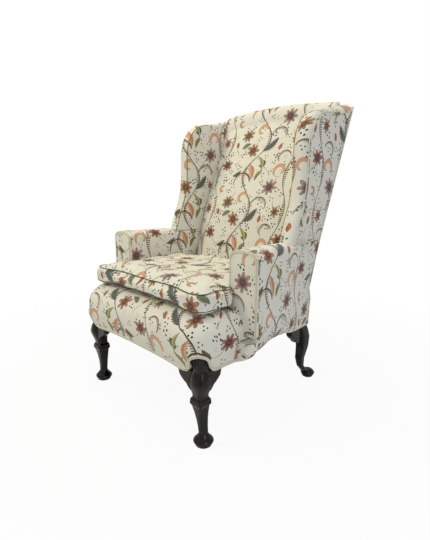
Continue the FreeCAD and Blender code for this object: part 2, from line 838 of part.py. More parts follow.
def seat_hessian(cutters):
    z0 = rail_top + 2 * webbing_thickness
    half_front = seat_corner_x - cloth_and_wadding - 10
    half_rear = seat_rear_x - cloth_and_wadding - 10
    y0 = seat_front_y + cloth_and_wadding + 8
    y1 = seat_rear_y - cloth_and_wadding - 20
    sheet = plate([Vector(-half_front, y0, z0), Vector(half_front, y0, z0),
                   Vector(half_rear, y1, z0), Vector(-half_rear, y1, z0)],
                  Vector(0, 0, hessian_thickness))
    return largest(sheet, cutters)


def dust_cover(cutters):
    z0 = rail_bottom - 1
    y0 = seat_front_y + cloth_and_wadding + 4
    y1 = seat_rear_y - cloth_and_wadding - 12
    half_front = seat_corner_x - cloth_and_wadding - leg_block - 4
    half_rear = seat_rear_x - cloth_and_wadding - leg_block
    sheet = plate([Vector(-half_front, y0, z0), Vector(half_front, y0, z0),
                   Vector(half_rear, y1, z0), Vector(-half_rear, y1, z0)], Vector(0, 0, 1))
    return largest(sheet, cutters)


# Back upholstery

def back_pad_section(x, crown):
    # Front face from the seat up over the crest, then down the frame at the rear
    fall = (abs(x) / outer_edge(crest_height)) ** 2 * 22
    plane = outside_back_skin + post_depth + webbing_thickness + hessian_thickness

    def up(share):
        return blend(back_pad_bottom, crest_height, share)

    def front(z):
        share = (z - back_pad_bottom) / (crest_height - back_pad_bottom)
        thick = back_pad_depth - max(0, share - 0.37) * back_pad_taper
        swell = crown * math.sin(math.pi * min(1, max(0, share * 1.115)))
        return back_line(max(z, back_bend_z)) - thick - swell

    def rear(z):
        return back_line(z) - plane

    low = back_pad_bottom
    top = crest_height - fall
    y_top = back_line(outer_corner_z) - 22
    z3 = up(0.902) - fall
    a = Vector(x, front(low), low)
    b = Vector(x, front(up(0.304)), up(0.304))
    c = Vector(x, front(up(0.617)), up(0.617))
    d = Vector(x, front(z3), z3)
    e = Vector(x, y_top, top)
    f = Vector(x, back_line(outer_corner_z) - outside_back_skin, outer_corner_z - 4)
    g = Vector(x, f.y, back_top_z)
    g_in = Vector(x, rear(back_top_z), back_top_z)
    bend = Vector(x, rear(back_bend_z), back_bend_z)
    h = Vector(x, rear(low), low)
    ab = Vector(x, front(up(0.155)), up(0.155))
    bc = Vector(x, front(up(0.467)), up(0.467))
    cd = Vector(x, front(up(0.766)), up(0.766))
    de = Vector(x, blend(d.y, e.y, 0.32), blend(d.z, e.z, 0.72))
    ef = Vector(x, blend(e.y, f.y, 0.72), blend(e.z, f.z, 0.34))
    return Part.Wire([arc(a, ab, b), arc(b, bc, c), arc(c, cd, d), arc(d, de, e),
                      arc(e, ef, f), line(f, g), line(g, g_in), line(g_in, bend),
                      line(bend, h), line(h, a)])


def inside_back(cutters):
    half = wing_inner_x - 1
    stations = ((-half, 0), (-half * 0.8, 0.7), (-half * 0.4, 1), (half * 0.4, 1),
                (half * 0.8, 0.7), (half, 0))
    solid = loft([back_pad_section(x, back_pad_crown * c) for x, c in stations])
    return largest(solid, cutters)


def back_strip(x0, x1, z0, z1, push):
    # A flat strip on the raked front of the back frame
    near = outside_back_skin + post_depth + push
    rows = []
    for z in (z0, z1):
        y1 = back_line(z) - near
        rows.append(polygon([Vector(x0, y1 - webbing_thickness / 2, z),
                             Vector(x1, y1 - webbing_thickness / 2, z), Vector(x1, y1, z),
                             Vector(x0, y1, z)]))
    return loft(rows)


def back_webbing():
    half = webbing_thickness / 2
    strips = []
    for i in range(3):
        x = blend(-130, 130, i / 2)
        strips.append(back_strip(x - webbing_width / 2, x + webbing_width / 2,
                                 tack_rail_bottom + 8, back_top_z - 8, 0))
    for i in range(4):
        z = blend(620, 1000, i / 3)
        reach = outer_edge(z) - cloth_and_wadding - post_width + 14
        strips.append(back_strip(-reach, reach, z, z + webbing_width, half))
    return Part.makeCompound(strips)


def back_hessian():
    rows = []
    near = outside_back_skin + post_depth + webbing_thickness
    for z in (tack_rail_bottom + 2, back_top_z - 4):
        y1 = back_line(z) - near
        half = outer_edge(z) - cloth_and_wadding - post_width + 6
        rows.append(polygon([Vector(-half, y1 - hessian_thickness, z),
                             Vector(half, y1 - hessian_thickness, z), Vector(half, y1, z),
                             Vector(-half, y1, z)]))
    return loft(rows)


def outside_back(cutters):
    rows = []
    for z in (back_foot_z, back_bend_z, outer_corner_z - 6):
        y1 = back_line(z)
        y0 = y1 - outside_back_skin
        half = outer_edge(z)
        rows.append(polygon([Vector(-half, y0, z), Vector(half, y0, z), Vector(half, y1, z),
                             Vector(-half, y1, z)]))
    skin = loft(rows)
    for cutter in cutters:
        skin = skin.cut(cutter)
    return skin


# Loose cushion

def cushion_plan(z, inset, scale=1.0):
    # T-shaped plan with rounded corners and sides that draw in between them
    centre = Vector(0, blend(cushion_front_y, cushion_rear_y, 0.5), z)
    edges = cushion_seam_line(z, inset)
    if scale == 1.0:
        return edges
    wire = Part.Wire(edges).scale(scale, centre)
    return wire.OrderedEdges


def cushion_seam_line(z, inset):
    ear = cushion_ear_x - inset
    body = arm_inner_x - cushion_clearance - inset
    front = cushion_front_y + inset
    step = arm_front_y - 9 - inset
    rear = cushion_rear_y - inset
    r = max(12.0, cushion_corner - inset * 0.8)
    q = max(8.0, 30 - inset * 0.6)
    k = r * (1 - math.sqrt(0.5))
    m = q * (1 - math.sqrt(0.5))
    e = 9.0
    n = e * (1 - math.sqrt(0.5))
    half = []
    for s in (1, -1):
        half.append([
            Vector(s * (ear - r), front, z), Vector(s * (ear - k), front + k, z),
            Vector(s * ear, front + r, z), Vector(s * ear, step - e, z),
            Vector(s * (ear - n), step - n, z), Vector(s * (ear - e), step, z),
            Vector(s * (body + 4), step, z), Vector(s * body, step + 6, z),
            Vector(s * (body - cushion_draw_in), 0, z), Vector(s * body, rear - q, z),
            Vector(s * (body - m), rear - m, z), Vector(s * (body - q), rear, z),
        ])
    r_, l_ = half
    front_mid = Vector(0, front + cushion_draw_in * 0.6, z)
    rear_mid = Vector(0, rear - cushion_draw_in, z)
    edges = [arc(l_[0], front_mid, r_[0])]
    edges += [arc(r_[0], r_[1], r_[2]), line(r_[2], r_[3]), arc(r_[3], r_[4], r_[5]),
              line(r_[5], r_[6]), line(r_[6], r_[7]), arc(r_[7], r_[8], r_[9]),
              arc(r_[9], r_[10], r_[11])]
    edges += [arc(r_[11], rear_mid, l_[11])]
    edges += [arc(l_[11], l_[10], l_[9]), arc(l_[9], l_[8], l_[7]), line(l_[7], l_[6]),
              line(l_[6], l_[5]), arc(l_[5], l_[4], l_[3]), line(l_[3], l_[2]),
              arc(l_[2], l_[1], l_[0])]
    return edges


def cushion():
    middle = blend(cushion_seam_low, cushion_seam_high, 0.5)
    rise = cushion_top - cushion_seam_high
    rows = [(cushion_bottom, 3, 0.92), (cushion_seam_low, 3, 1), (middle, 0, 1),
            (cushion_seam_high, 3, 1)]
    crown_rows = 3
    for i in range(1, crown_rows + 1):
        t = i / crown_rows
        rows.append((cushion_seam_high + rise * math.sin(t * math.pi / 2), 3,
                     1 - 0.55 * t ** 1.6))
    return loft([Part.Wire(cushion_plan(*row)) for row in rows])


# Put the chair together

def save(name, shape):
    shape = shape.copy()
    shape.translate(Vector(0, -origin_shift_y, 0))
    shape.exportStep("parts/" + name + ".step")


def save_pair(name, shape):
    save(name + "_left", shape)
    save(name + "_right", mirrored(shape))


def main():
    os.makedirs("parts", exist_ok=True)
    leg = front_leg()
    hind = rear_leg()
    hinds = [hind, mirrored(hind)]
    save_pair("front_leg", leg)
    save_pair("rear_leg", hind)
    bracket_front = front_bracket(leg)
    bracket_side = side_bracket(leg)
    bracket_rear = rear_bracket(hind)
    save_pair("front_knee_bracket", bracket_front)
    save_pair("side_knee_bracket", bracket_side)
    save_pair("rear_leg_bracket", bracket_rear)
    rail_f = front_rail()
    rail_s = side_rail()
    rail_r = rear_rail()
    save("front_seat_rail", rail_f)
    save_pair("side_seat_rail", rail_s)
    save("rear_seat_rail", rail_r)
    blocks = corner_blocks([leg, hind, rail_f, rail_s, rail_r])
    save("corner_blocks", Part.makeCompound(blocks + [mirrored(b) for b in blocks]))
    post = back_post()
    posts = [post, mirrored(post)]
    save_pair("back_post", post)
    wide = outer_edge(back_top_z)
    crest = raked_board(back_top_z - crest_rail_height, back_top_z, post_depth, wide, posts)
    save("crest_rail", crest)
    tack = raked_board(tack_rail_bottom, tack_rail_bottom + tack_rail_height, post_depth, wide,
                       posts)
    save("back_tack_rail", tack)
    stump = arm_post(rail_s)
    top_rail = arm_rail(post).cut(stump)
    low_rail = arm_tack_rail([post])
    save_pair("arm_post", stump)
    save_pair("arm_rail", top_rail)
    save_pair("arm_tack_rail", low_rail)
    upright = wing_post()
    save_pair("wing_post", upright)
    wing_top = wing_rail([upright, post, crest])
    save_pair("wing_rail", wing_top)
    side_wood = [post, stump, top_rail, low_rail, upright, wing_top, rail_s, leg, hind]
    outer_back = outside_back(hinds)
    save("outside_back", outer_back)
    webs = seat_webbing()
    save("seat_webbing", webs)
    back_webs = back_webbing()
    save("back_webbing", back_webs)
    back_cloth = back_hessian()
    save("back_hessian", back_cloth)
    arm_outside = outside_arm(side_wood + [outer_back])
    save_pair("outside_arm", arm_outside)
    belly = arm_belly([arm_outside, rail_s, webs])
    save_pair("arm_belly", belly)
    panel = largest(arm_front(), [rail_s, webs, belly])
    save_pair("arm_front_panel", panel)
    back_layers = [outer_back, crest, back_webs, back_cloth]
    border, wing_outer, wing_inner = wing_parts(side_wood + back_layers)
    save_pair("wing_border", border)
    save_pair("outside_wing", wing_outer)
    save_pair("inside_wing", wing_inner)
    wings = [border, wing_inner, mirrored(border), mirrored(wing_inner)]
    all_wood = side_wood + [mirrored(s) for s in side_wood]
    back = inside_back(all_wood + [crest, tack, outer_back] + wings)
    save("inside_back", back)
    clip = [back, arm_outside, panel, border, wing_inner, wing_outer]
    arm_inside = inside_arm(side_wood + clip + back_layers)
    save_pair("inside_arm", arm_inside)
    arms = [arm_inside, mirrored(arm_inside)]
    panels = [panel, mirrored(panel), belly, mirrored(belly)]
    outsides = [arm_outside, mirrored(arm_outside)]
    cloth = seat_hessian(all_wood + arms + panels + outsides + [back, tack])
    save("seat_hessian", cloth)
    cover = front_cover(all_wood + [rail_f, webs, cloth] + arms + panels + outsides)
    save("front_seat_cover", cover)
    save("seat_deck", seat_deck(all_wood + arms + [cover, back, tack]))
    brackets = [bracket_front, bracket_side, bracket_rear]
    under = brackets + [mirrored(b) for b in brackets]
    save("dust_cover", dust_cover(all_wood + [cover] + under))
    save("seat_cushion", cushion())


main()
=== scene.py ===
# Wingback armchair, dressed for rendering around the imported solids.
# %% [markdown]
# An upholsterer covers a bare frame panel by panel, and this script does the same.
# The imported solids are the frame. They come in first, and nothing may move them,
# so every cover below is fitted to sizes that are read from their boxes.
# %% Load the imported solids
import bisect
import math

import bmesh
import bpy
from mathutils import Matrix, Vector, noise


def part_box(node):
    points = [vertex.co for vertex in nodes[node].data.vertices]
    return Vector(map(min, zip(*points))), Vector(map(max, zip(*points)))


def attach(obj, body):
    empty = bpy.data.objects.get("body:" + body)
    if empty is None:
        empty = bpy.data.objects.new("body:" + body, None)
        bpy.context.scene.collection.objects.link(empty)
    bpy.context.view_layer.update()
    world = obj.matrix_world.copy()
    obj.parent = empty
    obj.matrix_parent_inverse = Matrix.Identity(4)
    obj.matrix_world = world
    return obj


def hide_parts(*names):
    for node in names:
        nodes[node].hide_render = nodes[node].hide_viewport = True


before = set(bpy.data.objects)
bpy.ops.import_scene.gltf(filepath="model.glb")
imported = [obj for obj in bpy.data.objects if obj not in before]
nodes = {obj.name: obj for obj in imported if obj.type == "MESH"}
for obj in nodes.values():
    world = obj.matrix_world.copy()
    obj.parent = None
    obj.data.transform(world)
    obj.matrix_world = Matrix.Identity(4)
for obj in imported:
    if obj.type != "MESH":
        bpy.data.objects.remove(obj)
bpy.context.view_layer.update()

# %% [markdown]
# The picture was taken from the front left corner, a little above the arms.
# A long lens far away would flatten the chair, so the camera stands where the
# converging edges of the seat say it stood, and looks slightly down.
# %% Camera
camera_place = (1.2369, -1.1641, 0.8355)
camera_turn = 46.709
camera_dip = 11.853
camera_data = bpy.data.cameras.new("camera")
camera_data.sensor_width = 36.0
camera_data.lens = 36.0 * 419.08 / 540
camera = bpy.data.objects.new("camera", camera_data)
camera.location = camera_place
camera.rotation_euler = (math.radians(90 - camera_dip), 0, math.radians(camera_turn))
bpy.context.scene.collection.objects.link(camera)
bpy.context.scene.camera = camera
print("camera at", camera_place)

# %% [markdown]
# The floor is white to the camera, faint in the polish and only pale to the light, so
# that it takes the chair's soft shadow and doesn't throw glare back under the seat.
# %% Floor, backdrop and lamps


class Node:
    """A socket that can be added, multiplied and compared like a number."""

    def __init__(self, tree, socket):
        self.tree = tree
        self.socket = socket

    def math(self, operation, *others):
        return self.tree.node("ShaderNodeMath", {"operation": operation}, [self, *others])

    def __add__(self, other):
        return self.math("ADD", other)

    __radd__ = __add__

    def __sub__(self, other):
        return self.math("SUBTRACT", other)

    def __rsub__(self, other):
        return self.tree.node("ShaderNodeMath", {"operation": "SUBTRACT"}, [other, self])

    def __mul__(self, other):
        return self.math("MULTIPLY", other)

    __rmul__ = __mul__

    def __truediv__(self, other):
        return self.math("DIVIDE", other)

    def __abs__(self):
        return self.math("ABSOLUTE")

    def __pow__(self, other):
        return self.math("POWER", other)


class Finish:
    """A material and the one way that its nodes are made."""

    def __init__(self, name):
        self.material = bpy.data.materials.new(name)
        self.material.use_nodes = True
        self.nodes = self.material.node_tree.nodes
        self.links = self.material.node_tree.links
        self.nodes.clear()

    def node(self, kind, settings=None, values=None, output=0):
        made = self.nodes.new(kind)
        for key, value in (settings or {}).items():
            setattr(made, key, value)
        items = values.items() if isinstance(values, dict) else enumerate(values or [])
        for key, value in items:
            if isinstance(value, Node):
                self.links.new(value.socket, made.inputs[key])
            elif value is not None:
                made.inputs[key].default_value = value
        return Node(self, made.outputs[output]) if made.outputs else None

    def parts(self, vector):
        split = self.node("ShaderNodeSeparateXYZ", None, [vector])
        outputs = split.socket.node.outputs
        return [Node(self, outputs[i]) for i in range(3)]

    def mix(self, factor, a, b):
        return self.node("ShaderNodeMix", {"data_type": "RGBA"}, {0: factor, 6: a, 7: b}, 2)

    def noise(self, vector, scale, detail, **more):
        values = {"Vector": vector, "Scale": scale, "Detail": detail}
        return self.node("ShaderNodeTexNoise", None, {**values, **more})

    def flat_noise(self, vector, scale, detail):
        return self.node("ShaderNodeTexNoise", {"noise_dimensions": "2D"},
                         {"Vector": vector, "Scale": scale, "Detail": detail})

    def wave(self, direction, vector, scale, **more):
        return self.node("ShaderNodeTexWave", {"bands_direction": direction},
                         {"Vector": vector, "Scale": scale, **more})

    def place(self):
        return self.node("ShaderNodeTexCoord", None, None, "Object")

    def cloth_place(self):
        return self.node("ShaderNodeUVMap", {"uv_map": "cloth"})

    def surface(self, values, bump=None, strength=0.3, depth=0.001):
        if bump is not None:
            values["Normal"] = self.node(
                "ShaderNodeBump", None, {"Strength": strength, "Distance": depth, "Height": bump})
        shader = self.node("ShaderNodeBsdfPrincipled", None, values)
        return self.node("ShaderNodeOutputMaterial", None, [shader])


def step(value, edge, soft):
    """1 below the edge and 0 above it, with a soft border."""
    tree = value.tree
    return tree.node("ShaderNodeMapRange", {"clamp": True},
                     [value, edge - soft, edge + soft, 1.0, 0.0])


def rgb(red, green, blue):
    """A colour as the eye reads it from 0 to 255, made linear."""
    def straight(v):
        v /= 255
        return v / 12.92 if v <= 0.04045 else ((v + 0.055) / 1.055) ** 2.4
    return (straight(red), straight(green), straight(blue), 1)


def backdrop_finish(name, seen, lit):
    finish = Finish(name)
    light_path = finish.node("ShaderNodeLightPath")
    outputs = light_path.socket.node.outputs
    camera_ray = Node(finish, outputs["Is Camera Ray"])
    glossy_ray = Node(finish, outputs["Is Glossy Ray"])
    place = finish.place()
    away = finish.node("ShaderNodeVectorMath", {"operation": "LENGTH"}, [place], 1)
    far = finish.node("ShaderNodeMapRange", {"clamp": True}, [away, 0.7, 1.9, 0.93, 1.0])
    shown = camera_ray * far + glossy_ray * 0.05
    glow = finish.node("ShaderNodeEmission", None, {"Color": seen, "Strength": 1.0})
    plain = finish.node("ShaderNodeBsdfDiffuse", None, {"Color": lit})
    mixed = finish.node("ShaderNodeMixShader", None, [shown, plain, glow])
    finish.node("ShaderNodeOutputMaterial", None, [mixed])
    return finish.material


def plane(name, size, material):
    mesh = bpy.data.meshes.new(name)
    h = size / 2
    mesh.from_pydata([(-h, -h, 0), (h, -h, 0), (h, h, 0), (-h, h, 0)], [], [(0, 1, 2, 3)])
    mesh.materials.append(material)
    made = bpy.data.objects.new(name, mesh)
    bpy.context.scene.collection.objects.link(made)
    return made


floor = plane("floor", 60, backdrop_finish("floor_white", (1, 1, 1, 1), (0.75, 0.75, 0.74, 1)))

world = bpy.data.worlds.new("studio")
bpy.context.scene.world = world
world.use_nodes = True
sky = world.node_tree
sky.nodes.clear()
sky_out = sky.nodes.new("ShaderNodeOutputWorld")
sky_dim = sky.nodes.new("ShaderNodeBackground")
sky_white = sky.nodes.new("ShaderNodeBackground")
sky_path = sky.nodes.new("ShaderNodeLightPath")
sky_mix = sky.nodes.new("ShaderNodeMixShader")
for background, colour, strength in ((sky_dim, (0.90, 0.94, 1.0, 1), 0.52),
                                     (sky_white, (1, 1, 1, 1), 1.0)):
    background.inputs[0].default_value = colour
    background.inputs[1].default_value = strength
sky.links.new(sky_path.outputs["Is Camera Ray"], sky_mix.inputs[0])
sky.links.new(sky_dim.outputs[0], sky_mix.inputs[1])
sky.links.new(sky_white.outputs[0], sky_mix.inputs[2])
sky.links.new(sky_mix.outputs[0], sky_out.inputs[0])


def lamp(name, place, aim, size, power, colour):
    data = bpy.data.lights.new(name, "AREA")
    data.size = size
    data.energy = power
    data.color = colour
    made = bpy.data.objects.new(name, data)
    made.location = place
    made.rotation_euler = (Vector(aim) - Vector(place)).to_track_quat("-Z", "Y").to_euler()
    bpy.context.scene.collection.objects.link(made)


lamp("key", (-1.5, -2.0, 2.9), (0, 0, 0.6), 1.0, 46, (1.0, 0.91, 0.62))
lamp("fill", (2.9, -0.9, 1.5), (0, 0, 0.5), 1.6, 15, (0.86, 0.92, 1.0))
lamp("crown", (0.3, 0.2, 3.2), (0, 0, 0.9), 1.2, 20, (1.0, 0.92, 0.64))
bpy.context.scene.view_settings.view_transform = "Standard"

# %% [markdown]
# The cloth is a traditional crewel vine: an upright stem that swings from side to side,
# with toothed fronds, curled scrolls, leaves, star-shaped flowers and threes of dark dots.
# It could be drawn as an image, but then the threads would blur close up. Here each motif
# is a small formula on the cloth's own coordinates, in metres, so the edges stay crisp
# and the same cloth fits every panel. The layout is this script's own. The vine is
# printed flat: only the weave has height.
# %% Motifs of the vine
repeat_across = 0.400
repeat_up = 0.325


class Vine(Finish):
    """Cloth whose motifs are laid one after the other over a ground."""

    def start(self, ground):
        uv = self.cloth_place()
        ripple = self.flat_noise(uv, 90.0, 2.0)
        self.u, self.v, _ = self.parts(uv)
        self.u = self.u + (ripple - 0.5) * 0.0022
        self.v = self.v + (ripple - 0.5) * -0.0022
        self.thread = self.flat_noise(uv, 420.0, 1.0)
        self.colour = ground

    def local(self, x, y):
        """Coordinates about a point of the repeat."""
        across = self.wrapped(self.u - x, repeat_across / 2, -repeat_across / 2)
        up = self.wrapped(self.v - y, repeat_up / 2, -repeat_up / 2)
        return across, up

    def polar(self, across, up):
        radius = (across * across + up * up) ** 0.5
        return radius, up.math("ARCTAN2", across)

    def wrapped(self, value, high, low):
        return value.math("WRAP", high, low)

    def lay(self, mask, colour):
        self.colour = self.mix(mask, self.colour, colour)

    def stem(self, x, swing, width, colour):
        line = (self.v * (2 * math.pi / repeat_up)).math("SINE") * swing
        off = self.wrapped(self.u - x - line, repeat_across / 2, -repeat_across / 2)
        mask = step(abs(off), width, 0.0005)
        self.lay(mask, colour)
        side = (self.v * (2 * math.pi / repeat_up)).math("SINE")
        inner = off * side.math("SIGN") * -1
        teeth = self.wrapped(self.v, 0.0083, 0.0)
        reach = abs(side) ** 1.5 * 0.0150
        comb = inner.math("LESS_THAN", reach)
        comb = comb * inner.math("GREATER_THAN", 0.0) * step(teeth, 0.0044, 0.0006)
        self.lay(comb * abs(side).math("GREATER_THAN", 0.45), rgb(120, 96, 84))

    def frond(self, x, y, radius, start, span, width, colour, teeth_colour, turn_way=1,
              curl=0.35, teeth=15, tooth=0.0085):
        """A curl that tightens along its length, with a comb on its inner side."""
        across, up = self.local(x, y)
        r, turn = self.polar(across, up * turn_way)
        share = self.wrapped(turn - start, 2 * math.pi, 0.0) / span
        path = radius - share * (radius * curl)
        off = r - path
        along = step(share, 1.0, 0.012)
        taper = width * 1.15 - share * (width * 0.6)
        line = step(abs(off) - taper, 0.0, 0.0005) * along
        saw = self.wrapped(share * teeth, 1.0, 0.0)
        hump = (share * math.pi).math("SINE")
        inside = step(off * -1 - hump * tooth, 0.0, 0.0005)
        comb = inside * off.math("LESS_THAN", 0.0) * step(saw, 0.52, 0.08) * along
        self.lay(comb, teeth_colour)
        self.lay(line, colour)

    def scroll(self, x, y, radius, start, span, width, colour, edge, turn_way=1):
        """A fat C with a dark outline and a curled end."""
        across, up = self.local(x, y)
        r, turn = self.polar(across, up * turn_way)
        share = self.wrapped(turn - start, 2 * math.pi, 0.0) / span
        path = radius - share * share * (radius * 0.62)
        body = (share ** 0.8 * math.pi).math("SINE") * width + 0.0013
        along = step(share, 1.0, 0.015)
        off = abs(r - path)
        scallop = self.wrapped(share * 15.0, 1.0, 0.0)
        body = body + scallop * 0.0012
        self.lay(step(off - body, 0.0, 0.0005) * along, edge)
        self.lay(step(off - body, -0.0011, 0.0005) * along, colour)

    def leaf(self, x, y, length, width, turn, colour, edge, bend=0.0, saw=0.0, other=None):
        """A leaf from its stalk end: pointed, curved, with a dark rib and edge."""
        across, up = self.local(x, y)
        c, s = math.cos(turn), math.sin(turn)
        along = across * (c / length) + up * (s / length) - 0.5
        side = up * c - across * s
        side = side - along * along * bend
        half = (0.25 - along * along) * (4 * width)
        if saw:
            teeth = self.wrapped(along * 9.0, 1.0, 0.0)
            half = half * (teeth * saw + (1.0 - saw * 0.5))
        off = abs(side)
        self.lay(step(off - half, 0.0, 0.0006), edge)
        inner = step(off - half, -0.0013, 0.0006)
        fill = self.mix(step(side, 0.0, 0.0016), other or colour, colour)
        self.lay(inner, fill)
        self.lay(inner * step(off, 0.0004, 0.0004), edge)

    def flower(self, x, y, radius, petals, turn, petal, heart, edge):
        """Pointed petals round a heart, each with a dark edge and a dark rib."""
        across, up = self.local(x, y)
        r, angle = self.polar(across, up)
        slice_ = math.pi / petals
        within = abs(self.wrapped(angle + turn, slice_, -slice_)) / slice_
        uneven = (angle * 2.0 + turn * 3).math("SINE") * 0.10 + 1.0
        reach = (1.0 - within ** 1.7 * 0.52) * uneven * radius
        self.lay(step(r - reach, 0.0, 0.0006), edge)
        inner = step(r - reach, -0.0025, 0.0010)
        shade = self.mix(step(r, radius * 0.50, radius * 0.22), petal, heart)
        self.lay(inner, shade)
        rib = step(within, 0.075, 0.04) * inner * step(r, radius * 0.74, 0.002)
        self.lay(rib, edge)
        gap = within * -1 + 1.0
        self.lay(step(gap, 0.09, 0.05) * inner, edge)
        self.lay(step(r, radius * 0.15, 0.0008), edge)
        self.lay(step(r, radius * 0.08, 0.0006), rgb(170, 150, 96))

    def lightness(self):
        return self.node("ShaderNodeRGBToBW", None, [self.colour])

    def threes(self, cell, seed, dot, spread, colour, chance, bare):
        """Dots in threes on the bare ground, scattered without a visible grid."""
        vector = self.node("ShaderNodeCombineXYZ", None, [self.u + seed, self.v, 0.0])
        cells = self.node("ShaderNodeTexVoronoi",
                          {"voronoi_dimensions": "2D", "feature": "F1"},
                          {"Vector": vector, "Scale": 1.0 / cell, "Randomness": 0.72})
        outputs = cells.socket.node.outputs
        place = Node(self, outputs["Position"])
        tint = self.parts(Node(self, outputs["Color"]))
        px, py, _ = self.parts(place)
        across = self.u + seed - px
        up = self.v - py
        r, angle = self.polar(across, up)
        third = self.wrapped(angle + tint[0] * 6.28, math.pi / 3, -math.pi / 3)
        dx = r * third.math("COSINE") - spread
        dy = r * third.math("SINE")
        off = (dx * dx + dy * dy) ** 0.5
        mask = step(off - tint[1] * (dot * 0.35), dot, 0.0004)
        self.lay(mask * tint[2].math("LESS_THAN", chance) * bare, colour)


def linen(vine):
    """Fine uneven plain weave: its height, from threads that run both ways."""
    uv = vine.cloth_place()
    warp = vine.wave("X", uv, 260.0, Distortion=1.2, Detail=1.0)
    weft = vine.wave("Y", uv, 250.0, Distortion=1.2, Detail=1.0)
    return warp + weft


olive_brown = rgb(78, 66, 44)
grey_olive = rgb(96, 98, 78)
slate = rgb(92, 98, 104)
peach = rgb(212, 160, 120)
rust = rgb(172, 98, 58)
russet = rgb(150, 88, 62)
moss = rgb(148, 140, 62)
near_black = rgb(42, 38, 44)
ink = rgb(74, 44, 42)
cream_ground = rgb(232, 229, 219)
stalks = [(-0.092, 0.112, 0.066, 0.95, 0.05), (-0.034, 0.036, 0.060, 1.2, -0.05),
          (0.122, 0.186, 0.090, -2.5, 0.06), (-0.170, 0.292, 0.070, -0.9, 0.05),
          (0.186, 0.080, 0.060, 2.2, -0.05), (0.110, 0.030, 0.050, -1.4, 0.03),
          (-0.135, 0.050, 0.050, -1.0, -0.03)]


def crewel_cloth():
    vine = Vine("crewel_cloth")
    uv = vine.cloth_place()
    cloud = vine.flat_noise(uv, 7.0, 3.0)
    slub = vine.flat_noise(uv, 300.0, 2.0)
    ground = vine.mix(cloud, cream_ground, rgb(225, 221, 208))
    ground = vine.mix(slub * 0.35, ground, rgb(212, 208, 194))
    vine.start(ground)
    vine.stem(0.0, 0.050, 0.0028, olive_brown)
    vine.stem(0.205, 0.026, 0.0019, rgb(112, 100, 74))
    vine.frond(-0.055, 0.205, 0.056, 0.1, 3.3, 0.0030, olive_brown, rgb(170, 128, 108),
               tooth=0.013)
    vine.frond(0.096, 0.098, 0.050, 3.3, 3.2, 0.0026, rgb(104, 92, 62),
               rgb(128, 118, 106), turn_way=-1, tooth=0.012)
    vine.frond(0.150, 0.320, 0.036, 0.4, 3.6, 0.0024, rgb(120, 84, 58),
               rgb(96, 98, 78), tooth=0.010)
    vine.scroll(-0.012, 0.132, 0.027, 0.2, 4.9, 0.0050, peach, rgb(138, 92, 64))
    vine.scroll(0.152, 0.258, 0.030, 2.4, 5.0, 0.0054, peach, rgb(138, 90, 62), turn_way=-1)
    vine.scroll(0.045, 0.298, 0.017, 3.6, 4.6, 0.0040, slate, rgb(60, 64, 66))
    vine.scroll(-0.150, 0.172, 0.016, 1.2, 4.4, 0.0040, rgb(200, 148, 112), olive_brown)
    vine.leaf(0.030, 0.022, 0.094, 0.0150, 0.75, grey_olive, rgb(58, 60, 50), 0.034, 0.7,
              slate)
    vine.leaf(0.022, 0.010, 0.080, 0.0088, -1.05, moss, rgb(104, 98, 50), -0.050, 0.0,
              rgb(188, 180, 108))
    vine.leaf(0.012, 0.222, 0.080, 0.0140, 1.95, rgb(196, 132, 96), rgb(118, 70, 52), 0.032,
              0.6, rgb(218, 166, 130))
    vine.leaf(0.020, 0.218, 0.060, 0.0095, 1.00, rgb(124, 118, 62), olive_brown, -0.034, 0.0,
              rgb(150, 146, 92))
    vine.leaf(-0.060, 0.075, 0.056, 0.0105, 3.6, rgb(118, 124, 96), rgb(66, 70, 54), 0.024, 0.7)
    vine.leaf(-0.110, 0.232, 0.054, 0.0100, 0.5, rgb(96, 92, 64), rgb(54, 50, 38), 0.030, 0.6)
    vine.leaf(0.110, 0.030, 0.034, 0.0090, 1.3, rust, ink, 0.0, 0.0, rgb(196, 122, 78))
    vine.leaf(-0.135, 0.050, 0.036, 0.0085, 1.9, russet, ink, 0.0, 0.0, rgb(190, 116, 78))
    for x, y, length, turn, bend in stalks:
        vine.leaf(x, y, length, 0.0011, turn, olive_brown, rgb(96, 88, 62), bend)
    vine.flower(-0.092, 0.112, 0.033, 8, 0.3, rgb(170, 136, 98), rgb(104, 88, 56), ink)
    vine.flower(-0.034, 0.036, 0.034, 7, 0.9, rgb(186, 138, 110), rgb(116, 70, 52), ink)
    vine.flower(0.122, 0.186, 0.036, 8, 0.1, rgb(180, 148, 140), rgb(104, 76, 84), ink)
    vine.flower(-0.170, 0.292, 0.031, 7, 0.5, rgb(174, 124, 104), rgb(100, 62, 56), ink)
    vine.flower(0.186, 0.080, 0.024, 7, 1.4, rgb(186, 138, 100), rgb(112, 80, 54), ink)
    bare = vine.lightness().math("GREATER_THAN", 0.58)
    vine.threes(0.046, 0.0, 0.0026, 0.0080, near_black, 0.62, bare)
    vine.threes(0.071, 3.1, 0.0032, 0.0095, rgb(52, 50, 62), 0.55, bare)
    vine.threes(0.052, 7.7, 0.0017, 0.0056, rgb(150, 138, 88), 0.6, bare)
    weave = linen(vine)
    height = weave * 0.12 + vine.thread * 0.25
    vine.surface({"Base Color": vine.colour, "Roughness": 0.92, "Sheen Weight": 0.18,
                  "Sheen Roughness": 0.5, "Specular IOR Level": 0.2}, height, 0.35, 0.0006)
    print("vine nodes:", len(vine.nodes))
    return vine.material


crewel = crewel_cloth()

# %% [markdown]
# Each cover is a sheet that was cut flat, so it is built as rows of points with the
# cloth's own coordinates beside them. Rows that close on themselves make a solid skin.
# Working in millimetres from the seat's own middle keeps the numbers readable.
# %% Helpers for covers
origin_shift_y = 15.5


def at(x, y, z):
    return Vector((x, y - origin_shift_y, z)) * 0.001


def blend(a, b, t):
    return a + (b - a) * t


def ease(t):
    t = min(1.0, max(0.0, t))
    return t * t * (3 - 2 * t)


